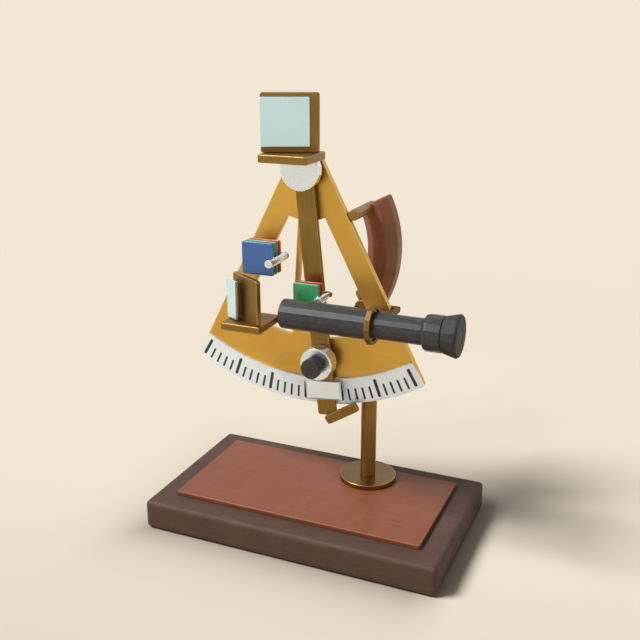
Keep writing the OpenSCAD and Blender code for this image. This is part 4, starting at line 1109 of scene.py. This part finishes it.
@dataclass
class Shades:
    """A stack of coloured shades on one pin."""

    pin_x: float
    pin_z: float
    width: float
    height: float
    pin_front: float
    colours: tuple[str, ...]
    inset: float
    prefix: str = ""
    front: float = -5.0
    pitch: float = 6.4
    thick: float = 3.0
    barrel_r: float = 3.35
    pin_r: float = 2.0

    def build(self) -> None:
        """Makes the shades, their barrels and the pin."""
        for i, colour in enumerate(self.colours):
            y = self.front + i * self.pitch
            body = f"{self.prefix}{colour}"
            x1 = self.pin_x - self.inset
            x0 = x1 - self.width
            z0, z1 = self.pin_z - self.height / 2, self.pin_z + self.height / 2
            pane = Draft().slab([box_outline(x0, x1, z0, z1, 1.8)], y, y + self.thick, 0.7, 4, 0.8)
            SHOP.fit(pane, f"{body}_pane", body, f"{colour}_glass", f"{body}_shade")
            barrel = Draft().turned(rod(y - 3, y - 3 + self.pitch - 0.1, self.barrel_r, 0.12), "y",
                                    (self.pin_x, self.pin_z))
            SHOP.fit(barrel, f"{body}_hinge", body, "silvered_metal", f"{body}_barrel")
        node = ("horizon_shade_pin" if self.prefix else "index_shade_pin")
        head = Draft().turned(rod(self.pin_front, self.front - 3.1, self.barrel_r, 0.35), "y",
                              (self.pin_x, self.pin_z))
        head.turned(rod(self.front - 3.2, CARRIER_BACK, self.pin_r, 0.3), "y", (self.pin_x, self.pin_z))
        SHOP.fit(head, f"{node}_rod", "stand", "silvered_metal", node)


@dataclass
class HorizonMirror:
    """The shelf and its mirror on the bridge in front of the arm."""

    left: float = -78.5
    width: float = 36.5
    front: float = -24.0
    back: float = 10.5
    low: float = 172.7
    top: float = 179.0
    yaw: float = -33.0
    post: tuple[float, float] = (-86.0, 195.0)
    pads: Outline = ((-65.68, 237.37), (-70.22, 228.46))
    shade_front: float = 11.3
    bar: Outline = (
        (-89, 172.7), (-42, 172.7), (-41.6, 173.0), (46, 173.0), (46, 176.5), (49, 176.5), (49, 191.5), (40, 191.5),
        (40, 179.0), (-83, 179.0), (-83, 198.0), (-89, 198.0))
    lug: Outline = (
        (-13, 178.0), (-5, 178.0), (-5, 200.5), (4, 200.5), (6.6, 201.2), (7.3, 203.0), (6.6, 204.8), (4, 205.5),
        (-13, 205.5))
    shade_plate: Outline = (
        (-73.7, 224), (-62, 224), (-62, 229), (-35.5, 229), (-35.5, 235), (-62, 235), (-62, 242), (-73.7, 242))

    def build(self) -> None:
        """Makes the horizon mirror's pieces."""
        shelf = Draft().slab([box_outline(self.left, self.left + self.width, self.front, self.back, 1.8)], self.low,
                             self.top, 0.8, 4, 0.7, Facing.TABLE)
        SHOP.fit(shelf, "horizon_shelf_plate", "stand", "dark_brass", "horizon_shelf")
        foot = np.array([self.left + self.width - 2.4, self.front + 1, self.top])
        place = lambda p: turn_z(p, self.yaw) + foot
        back = Draft().slab([box_outline(-39.5, 0, 0, 38.7, 2.0)], 0, 4.2, 0.8, 4, 0.8, place=place)
        back.slab([box_outline(-35.5, -26.5, 4, 32.2, 0.6)], -4.6, 1.0, 0.3, 2, 0.5, place=place)
        SHOP.fit(back, "horizon_mirror_back", "stand", "dark_brass", "horizon_back")
        glass = Draft().slab([box_outline(-37.4, -23, 1, 34.6, 0.7)], -7.2, -4.6, 0.4, 3, 0.5, place=place)
        SHOP.fit(glass, "horizon_mirror_glass", "stand", "mirror_glass", "horizon_glass")
        self.bridge()
        self.shade_bracket()
        SHOP.keep("steel", "bridge_screws")

    def bridge(self) -> None:
        """Makes the bridge in front of the arm: its bar, its post, the shades' lug and the flange at its end."""
        flange_x, flange_z = 45.5, 182.5
        piece = Draft().slab([rounded(np.array(self.bar, float), 1.0, 4)], 10.5, CARRIER_BACK, 0.4, 3, 0.4)
        piece.slab([rounded(np.array(self.lug, float), 0.8, 4, sharp=40)], 12.5, CARRIER_BACK, 0.3, 3, 0.4)
        piece.turned(rod(10.6, FRAME_FRONT, 3.0, 0.2), "y", self.post)
        piece.slab([box_outline(flange_x, flange_x + 3.5, 0, CARRIER_BACK, 0.8)], flange_z, flange_z + 9.0, 0.4, 3,
                   0.3, Facing.TABLE)
        SHOP.fit(piece, "bridge_bar", "stand", "dark_brass", "bridge")

    def shade_bracket(self) -> None:
        """Makes the plate behind the three shades, with its barrel and the two pads on the left limb."""
        piece = Draft().slab([rounded(np.array(self.shade_plate, float), 1.2, 4)], self.shade_front, CARRIER_BACK,
                             0.4, 3, 0.4)
        piece.turned(rod(self.shade_front, CARRIER_BACK, 3.35, 0.3), "y", (-35.5, 232.0))
        for pad in self.pads:
            piece.turned(rod(CARRIER_BACK - 0.5, FRAME_FRONT, 3.5, 0.2), "y", pad)
        SHOP.fit(piece, "shade_bracket_plate", "stand", "steel", "index_shade_bracket")


@dataclass
class Telescope:
    """The telescope with its collar and its eyepiece, which draws out."""

    y: float = -22.0
    z: float = 194.0
    start: float = -20.4
    step: float = 57.0
    rear: float = 97.0
    tube_r: float = 12.15
    rear_r: float = 10.5
    bore_r: float = 10.7
    collar_r: float = 15.8
    collar_span: tuple[float, float] = (53.9, 58.2)

    def build(self) -> None:
        """Makes the telescope's pieces."""
        centre = (self.y, self.z)
        e = 0.5
        tube = [(self.start, self.bore_r, 0.5), (self.start, self.tube_r - e, 0.7),
                (self.start + e * 0.3, self.tube_r - e * 0.3, 1.0), (self.start + e, self.tube_r, 0.7),
                (self.start + 1.5, self.tube_r), (self.step - 1.5, self.tube_r),
                (self.step - e, self.tube_r, 0.6), (self.step - e * 0.3, self.tube_r - e * 0.3, 0.9),
                (self.step, self.tube_r - e, 0.6), (self.step, self.rear_r + 0.05, 0.2),
                (self.step + 0.1, self.rear_r, 0.1), (self.rear - 1, self.rear_r), (self.rear, self.rear_r, 0.4),
                (self.rear, 9.05), (self.step - 4, 9.05), (self.step - 4, self.bore_r)]
        body = Draft().turned(tube, "x", centre, Section.SIXTEEN, 0.3, closed=True)
        SHOP.fit(body, "scope_tube", "stand", "black_enamel", "telescope_tube", sharp=30)
        self.eyepiece(centre)
        SHOP.keep("lens_glass", "objective_lens")
        SHOP.keep("silvered_metal", "draw_tube")
        self.bracket()

    def bracket(self) -> None:
        """Makes the twelve-sided collar, the neck behind it and the strap that reaches round the limb's edge."""
        corner = np.radians(np.arange(12) * 30.0)
        collar = self.collar_r * np.stack([np.cos(corner), np.sin(corner)], 1)
        along = lambda p: turn_z(p, -90) + np.array([0.0, self.y, self.z])
        piece = Draft().slab([rounded(collar, 0.8, 3, sharp=10), hole(12.2)], *self.collar_span, 0.5, 4, 0.5,
                             place=along)
        piece.slab([box_outline(49, 61.5, -9.8, 14.5, 1.2)], 183.0, 194.8, 0.6, 4, 0.5, Facing.TABLE)
        piece.slab([box_outline(56.8, 61.5, 189.7, 194.8, 1.6)], 10.6, FRAME_BACK + 3.0, 1.0, 4, 0.4)
        piece.slab([box_outline(49, 61.4, 189.8, 194.7, 1.2)], FRAME_BACK, FRAME_BACK + 2.9, 0.5, 3, 0.4)
        piece.slab([box_outline(6, 15.4, -146, -131, 1.5)], FRAME_BACK, FRAME_BACK + 3.0, 0.5, 3, 0.5, place=on_limb)
        SHOP.fit(piece, "scope_bracket", "stand", "satin_brass", "telescope_bracket", sharp=28)

    def eyepiece(self, centre: tuple[float, float]) -> None:
        """Makes the eyepiece's barrel with its rounded shoulder, and the flared cup with a rounded rim."""
        x0, x1, r = 97.5, 113.0, 14.5
        t = np.linspace(0, np.pi / 2, 6)
        shoulder = [(x0 + 0.6 + 3.2 * (1 - math.cos(a)), 11.2 + (r - 11.2) * math.sin(a), 0.3) for a in t]
        barrel = [(x0, 9.0), (x0, 10.7, 0.2)] + shoulder + [(x1 - 0.7, r), (x1 - 0.3, r - 0.1, 0.6),
                                                              (x1, r - 0.5, 0.4), (x1, 9.0)]
        piece = Draft().turned(barrel, "x", centre, Section.SIXTEEN, 0.3, closed=True)
        SHOP.fit(piece, "eyepiece_body", "draw", "black_enamel", "eyepiece_barrel", sharp=32)
        cup = [(113.2, 6.0), (113.2, 13.7, 0.2), (113.6, 14.3, 0.5), (114.2, 14.6), (116.6, 15.1), (120.4, 16.1),
               (123.6, 16.9)]
        cup += [(124.0 + 2.0 * math.sin(a), 15.0 + 2.0 * math.cos(a), 0.5) for a in np.linspace(0, np.pi / 2, 5)]
        cup += [(126.0, 12.0), (126.0, 7.2), (126.0, 6.4), (125.8, 6.15)]
        piece = Draft().turned(cup, "x", centre, Section.SIXTEEN, 0.6, closed=True)
        SHOP.fit(piece, "eyecup_body", "draw", "black_rubber", "eyecup", sharp=32)
        lens = Draft().turned([(121.8, 5.2), (122.0, 6.0), (125.5, 6.05), (125.8, 5.5), (125.86, 3.0), (125.88, 1.0)],
                              "x", centre)
        SHOP.fit(lens, "eye_lens_glass", "draw", "lens_glass", "eye_lens", sharp=60)


@dataclass
class Handle:
    """The bowed wooden grip and the two brass posts that hold it behind the frame."""

    mid_x: float = 32.6
    mid_z: float = 231.0
    y: float = 71.0
    bow: float = 92.0
    up: float = 27.0
    down: float = 31.5
    radius: float = 15.0
    upper: tuple[float, float] = (21.58, 269.0)
    lower: tuple[float, float] = (23.98, 187.52)
    post_r: float = 4.6

    def build(self) -> None:
        """Makes the handle's pieces."""
        self.grip()
        SHOP.keep("steel", "grip_screws")
        self.posts()

    def posts(self) -> None:
        """Makes the two eight-sided posts, each with the plate that holds it behind the right limb."""
        x, z = self.lower
        pad = box_outline(x - 2.2, x + 19.8, z - 5, z + 9, 6.0)
        for name, node, start, centre, plates in (
                ("upper_post_bar", "upper_post", FRAME_FRONT, self.upper, (
                    (box_outline(2, 14, -57.95, -43.95, 2.0), 3.0, 0.5, 0.5, on_limb),
                    (box_outline(8, 20.5, -54.75, -47.15, 1.0), 2.9, 0.5, 0.4, on_limb))),
                ("lower_post_bar", "lower_post", FRAME_BACK, self.lower, (
                    (pad, 3.0, 0.6, 0.5, None), (box_outline(-3, 5.5, -141.6, -126.6, 1.0), 2.9, 0.5, 0.4, on_limb)))):
            post = Draft().turned(rod(start, 68.0, self.post_r, 0.6), "y", centre, Section.EIGHT, 0.5, 22.5)
            for outline, thick, bevel, band, place in plates:
                post.slab([outline], FRAME_BACK, FRAME_BACK + thick, bevel, 3, band, place=place)
            SHOP.fit(post, name, "stand", "dark_brass", node)

    def grip(self) -> None:
        """Makes the grip: an eight-sided section carried along an arc, its corners and ends eased.

        A point is the bow's centre plus (bow + u) along the radius at the angle, with v along Y. The grain
        is laid along the arc: its first axis is the arc's length.
        """
        corner = np.radians(22.5 + np.arange(8) * 45.0)
        section = rounded(self.radius * np.stack([np.cos(corner), np.sin(corner)], 1), 3.0, 4)
        ease = np.array([0.0, 0.35, 1.2, 2.5])
        shrink = np.array([1.6, 0.6, 0.1, 0.0]) / self.radius
        length = math.radians(self.up + self.down) * self.bow
        s = np.concatenate([ease, np.linspace(4, length - 4, 40), length - ease[::-1]])
        scale = 1 - np.concatenate([shrink, np.zeros(40), shrink[::-1]])
        wear = np.concatenate([[0.6, 1.0, 0.6, 0.1], np.zeros(40), [0.1, 0.6, 1.0, 0.6]])
        a = math.radians(-self.down) + s / self.bow
        u = section[None, :, 0] * scale[:, None]
        v = section[None, :, 1] * scale[:, None]
        r = self.bow + u
        pts = np.stack([self.mid_x - self.bow + r * np.cos(a)[:, None], np.broadcast_to(self.y - v, r.shape),
                        self.mid_z + r * np.sin(a)[:, None]], -1)
        grain = np.stack([np.broadcast_to(s[:, None], r.shape), u, v], -1)
        edge = np.tile([0.15, 0.35, 0.5, 0.35, 0.15], 8)
        draft = Draft()
        index = draft.grid(pts, np.maximum(wear[:, None], edge[None]), grain=grain)
        draft.cap(index[0], reverse=True)
        draft.cap(index[-1])
        SHOP.fit(draft, "grip_body", "stand", "grip_wood", "handle_grip")


# ---------------------------------------------------------------- studio


def turned_to(ahead: Vector) -> Euler:
    """Gives the turn that points a light or a camera along a direction."""
    return ahead.to_track_quat("-Z", "Y").to_euler()


@dataclass
class Studio:
    """The pale floor, the soft key light, the surround and the camera.

    The floor is lit by the key near the object and turns into plain light far away, so that it meets
    the surround without a line. Painted shade darkens its colour toward the front and near the plinth.
    """

    backdrop: Colour = (242, 232, 213)
    # the plinth's half size and the painted shadow's reach, depth and stretch along X, which darken the floor's colour
    # near the plinth
    plinth_half: tuple[float, float] = (0.13, 0.075)
    shadow_reach: float = 0.027
    shadow_depth: float = 0.46
    shadow_squeeze: float = 1.4
    key_from: Point = (-0.675, -0.39, 0.975)
    key_angle: float = 20.0
    key_strength: float = 2.97
    fill_from: Point = (0.45, 0.75, 0.7)
    fill_angle: float = 70.0
    fill_strength: float = 0.15
    strip_from: Point = (-0.365, -0.62, 0.69)
    strip_aim: Point = (0.03, -0.022, 0.194)
    strip_distance: float = 1.3
    strip_size: float = 0.34
    strip_power: float = 2.2
    surround: float = 0.09
    reflected: Point = (0.79, 0.805, 0.84)
    # painted light falloff: the floor's colour darkens toward the front along this way, through these tones
    light_falloff_way: Point = (-0.074, 1.056, 0.0)
    light_falloff_tones: tuple[tuple[float, Colour], ...] = (
        (0.0, (233, 222, 204)), (0.22, (242, 231, 212)), (0.36, (247, 236, 216)), (0.57, (248, 237, 217)),
        (0.86, (251, 240, 220)))
    camera_place: Point = (0.2767, -0.6384, 0.4128)
    azimuth: float = 23.28
    elevation: float = 18.19
    lens: float = 50.0

    def build(self) -> None:
        """Sets up the scene round the object."""
        scene = bpy.context.scene
        scene.view_settings.view_transform = "Standard"
        self.floor()
        self.world(scene)
        self.sun("key", self.key_from, self.key_angle, self.key_strength)
        self.sun("fill", self.fill_from, self.fill_angle, self.fill_strength)
        self.strip()
        self.camera(scene)

    def floor(self) -> None:
        """Makes the floor, with painted shade in its colour: darker toward the front and close to the plinth."""
        mesh = bpy.data.meshes.new("floor")
        mesh.from_pydata([(-20, -20, 0), (20, -20, 0), (20, 20, 0), (-20, 20, 0)], [], [(0, 1, 2, 3)])
        obj = placed("floor", mesh)
        material = bpy.data.materials.new("pale floor")
        material.use_nodes = True
        g = Graph(material.node_tree)
        shader = next(n for n in material.node_tree.nodes if n.type == "BSDF_PRINCIPLED")
        out = next(n for n in material.node_tree.nodes if n.type == "OUTPUT_MATERIAL")
        shader.inputs["Roughness"].default_value = 0.95
        shader.inputs["Specular IOR Level"].default_value = 0.0
        place = g.node("ShaderNodeTexCoord").outputs["Object"]
        # painted light falloff: the floor's tone follows this way, darker toward the front
        along = g.vector("DOT_PRODUCT", place, self.light_falloff_way)
        ramp = g.node("ShaderNodeValToRGB")
        stops = ramp.color_ramp.elements
        for spot, colour in zip((stops[0], stops[1]), (self.light_falloff_tones[0], self.light_falloff_tones[-1])):
            spot.position, spot.color = colour[0], linear(colour[1])
        for position, colour in self.light_falloff_tones[1:-1]:
            stops.new(position).color = linear(colour)
        cloud = g.times(g.less(g.noise(place, 2.0), 0.5), 0.12)
        g.link(g.plus(g.span(along.outputs["Value"], -0.25, 0.45), cloud), ramp.inputs["Fac"])
        # painted shadow: the floor's colour darkens close to the plinth
        dark = g.mix(self.painted_contact_shadow(g, place), ramp.outputs["Color"], SHADOW_BLACK)
        g.link(dark, shader.inputs["Base Color"])
        away = g.vector("LENGTH", place)
        light = g.node("ShaderNodeEmission")
        light.inputs["Color"].default_value = linear(self.backdrop)
        both = g.node("ShaderNodeMixShader")
        g.link(g.span(away.outputs["Value"], 0.55, 1.3), both.inputs[0])
        g.link(shader.outputs[0], both.inputs[1])
        g.link(light.outputs[0], both.inputs[2])
        g.link(both.outputs[0], out.inputs["Surface"])
        mesh.materials.append(material)

    def painted_contact_shadow(self, g: Graph, place: Socket) -> Socket:
        """Gives how much a painted shadow darkens the floor's colour close to the plinth, on the sides that the key
        doesn't shade.
        """
        away = g.vector("ABSOLUTE", g.stretched(place, (self.shadow_squeeze, 1.0, 1.0)))
        half = (self.shadow_squeeze * self.plinth_half[0], self.plinth_half[1], 1.0)
        away = g.vector("MAXIMUM", g.vector("SUBTRACT", away.outputs[0], half).outputs[0])
        length = g.vector("LENGTH", away.outputs[0])
        near = g.maths("EXPONENT", g.maths("DIVIDE", length.outputs["Value"], -self.shadow_reach))
        axes = g.node("ShaderNodeSeparateXYZ")
        g.link(place, axes.inputs[0])
        side = g.span(axes.outputs[0], self.plinth_half[0] - 0.02, self.plinth_half[0] + 0.015,
                      self.shadow_depth, 0.0)
        return g.times(near, side)

    def world(self, scene: bpy.types.Scene) -> None:
        """Sets the surround: the backdrop's colour to the camera, pale in reflections, dim as a light."""
        world = bpy.data.worlds.new("studio")
        scene.world = world
        world.use_nodes = True
        g = Graph(world.node_tree)
        background = next(n for n in world.node_tree.nodes if n.type == "BACKGROUND")
        path = g.node("ShaderNodeLightPath")
        dim = g.mix(path.outputs["Is Glossy Ray"], (*[self.surround] * 3, 1.0), (*self.reflected, 1.0))
        g.link(g.mix(path.outputs["Is Camera Ray"], dim, linear(self.backdrop)), background.inputs["Color"])

    @staticmethod
    def sun(name: str, way: Point, angle: float, strength: float) -> None:
        """Adds a broad far light that comes from the given way."""
        data = bpy.data.lights.new(name, "SUN")
        data.energy = strength
        data.angle = math.radians(angle)
        placed(name, data).rotation_euler = turned_to(-Vector(way))

    def strip(self) -> None:
        """Adds a soft box that a facet of the telescope mirrors as a bright strip."""
        data = bpy.data.lights.new("strip", "AREA")
        data.shape = "SQUARE"
        data.size = self.strip_size
        data.energy = self.strip_power
        obj = placed("strip", data)
        obj.location = Vector(self.strip_aim) + Vector(self.strip_from).normalized() * self.strip_distance
        obj.rotation_euler = turned_to(-Vector(self.strip_from))

    def camera(self, scene: bpy.types.Scene) -> None:
        """Adds the camera at the photograph's angle."""
        a, e = math.radians(self.azimuth), math.radians(self.elevation)
        ahead = Vector((-math.sin(a) * math.cos(e), math.cos(a) * math.cos(e), -math.sin(e)))
        data = bpy.data.cameras.new("camera")
        data.lens = self.lens
        data.sensor_width = 36.0
        obj = placed("camera", data)
        obj.location = self.camera_place
        obj.rotation_euler = turned_to(ahead)
        scene.camera = obj


def main() -> None:
    """Builds every sub-assembly in order, then the studio."""
    assemblies = [
        Stand(), Frame(), IndexArm(), Drum(), Lever(),
        Shades(-35.5, 232.0, 28.8, 27.5, -18.5, ("blue", "green", "red"), 2.2),
        Shades(4.0, 203.0, 23.0, 24.8, -10.2, ("green", "red"), 1.0, prefix="horizon_"),
        HorizonMirror(), Telescope(), Handle(),
    ]
    for assembly in assemblies:
        log.info("%s", type(assembly).__name__)
        assembly.build()
    Studio().build()
    bpy.context.view_layer.update()


if __name__ == "__main__":
    main()
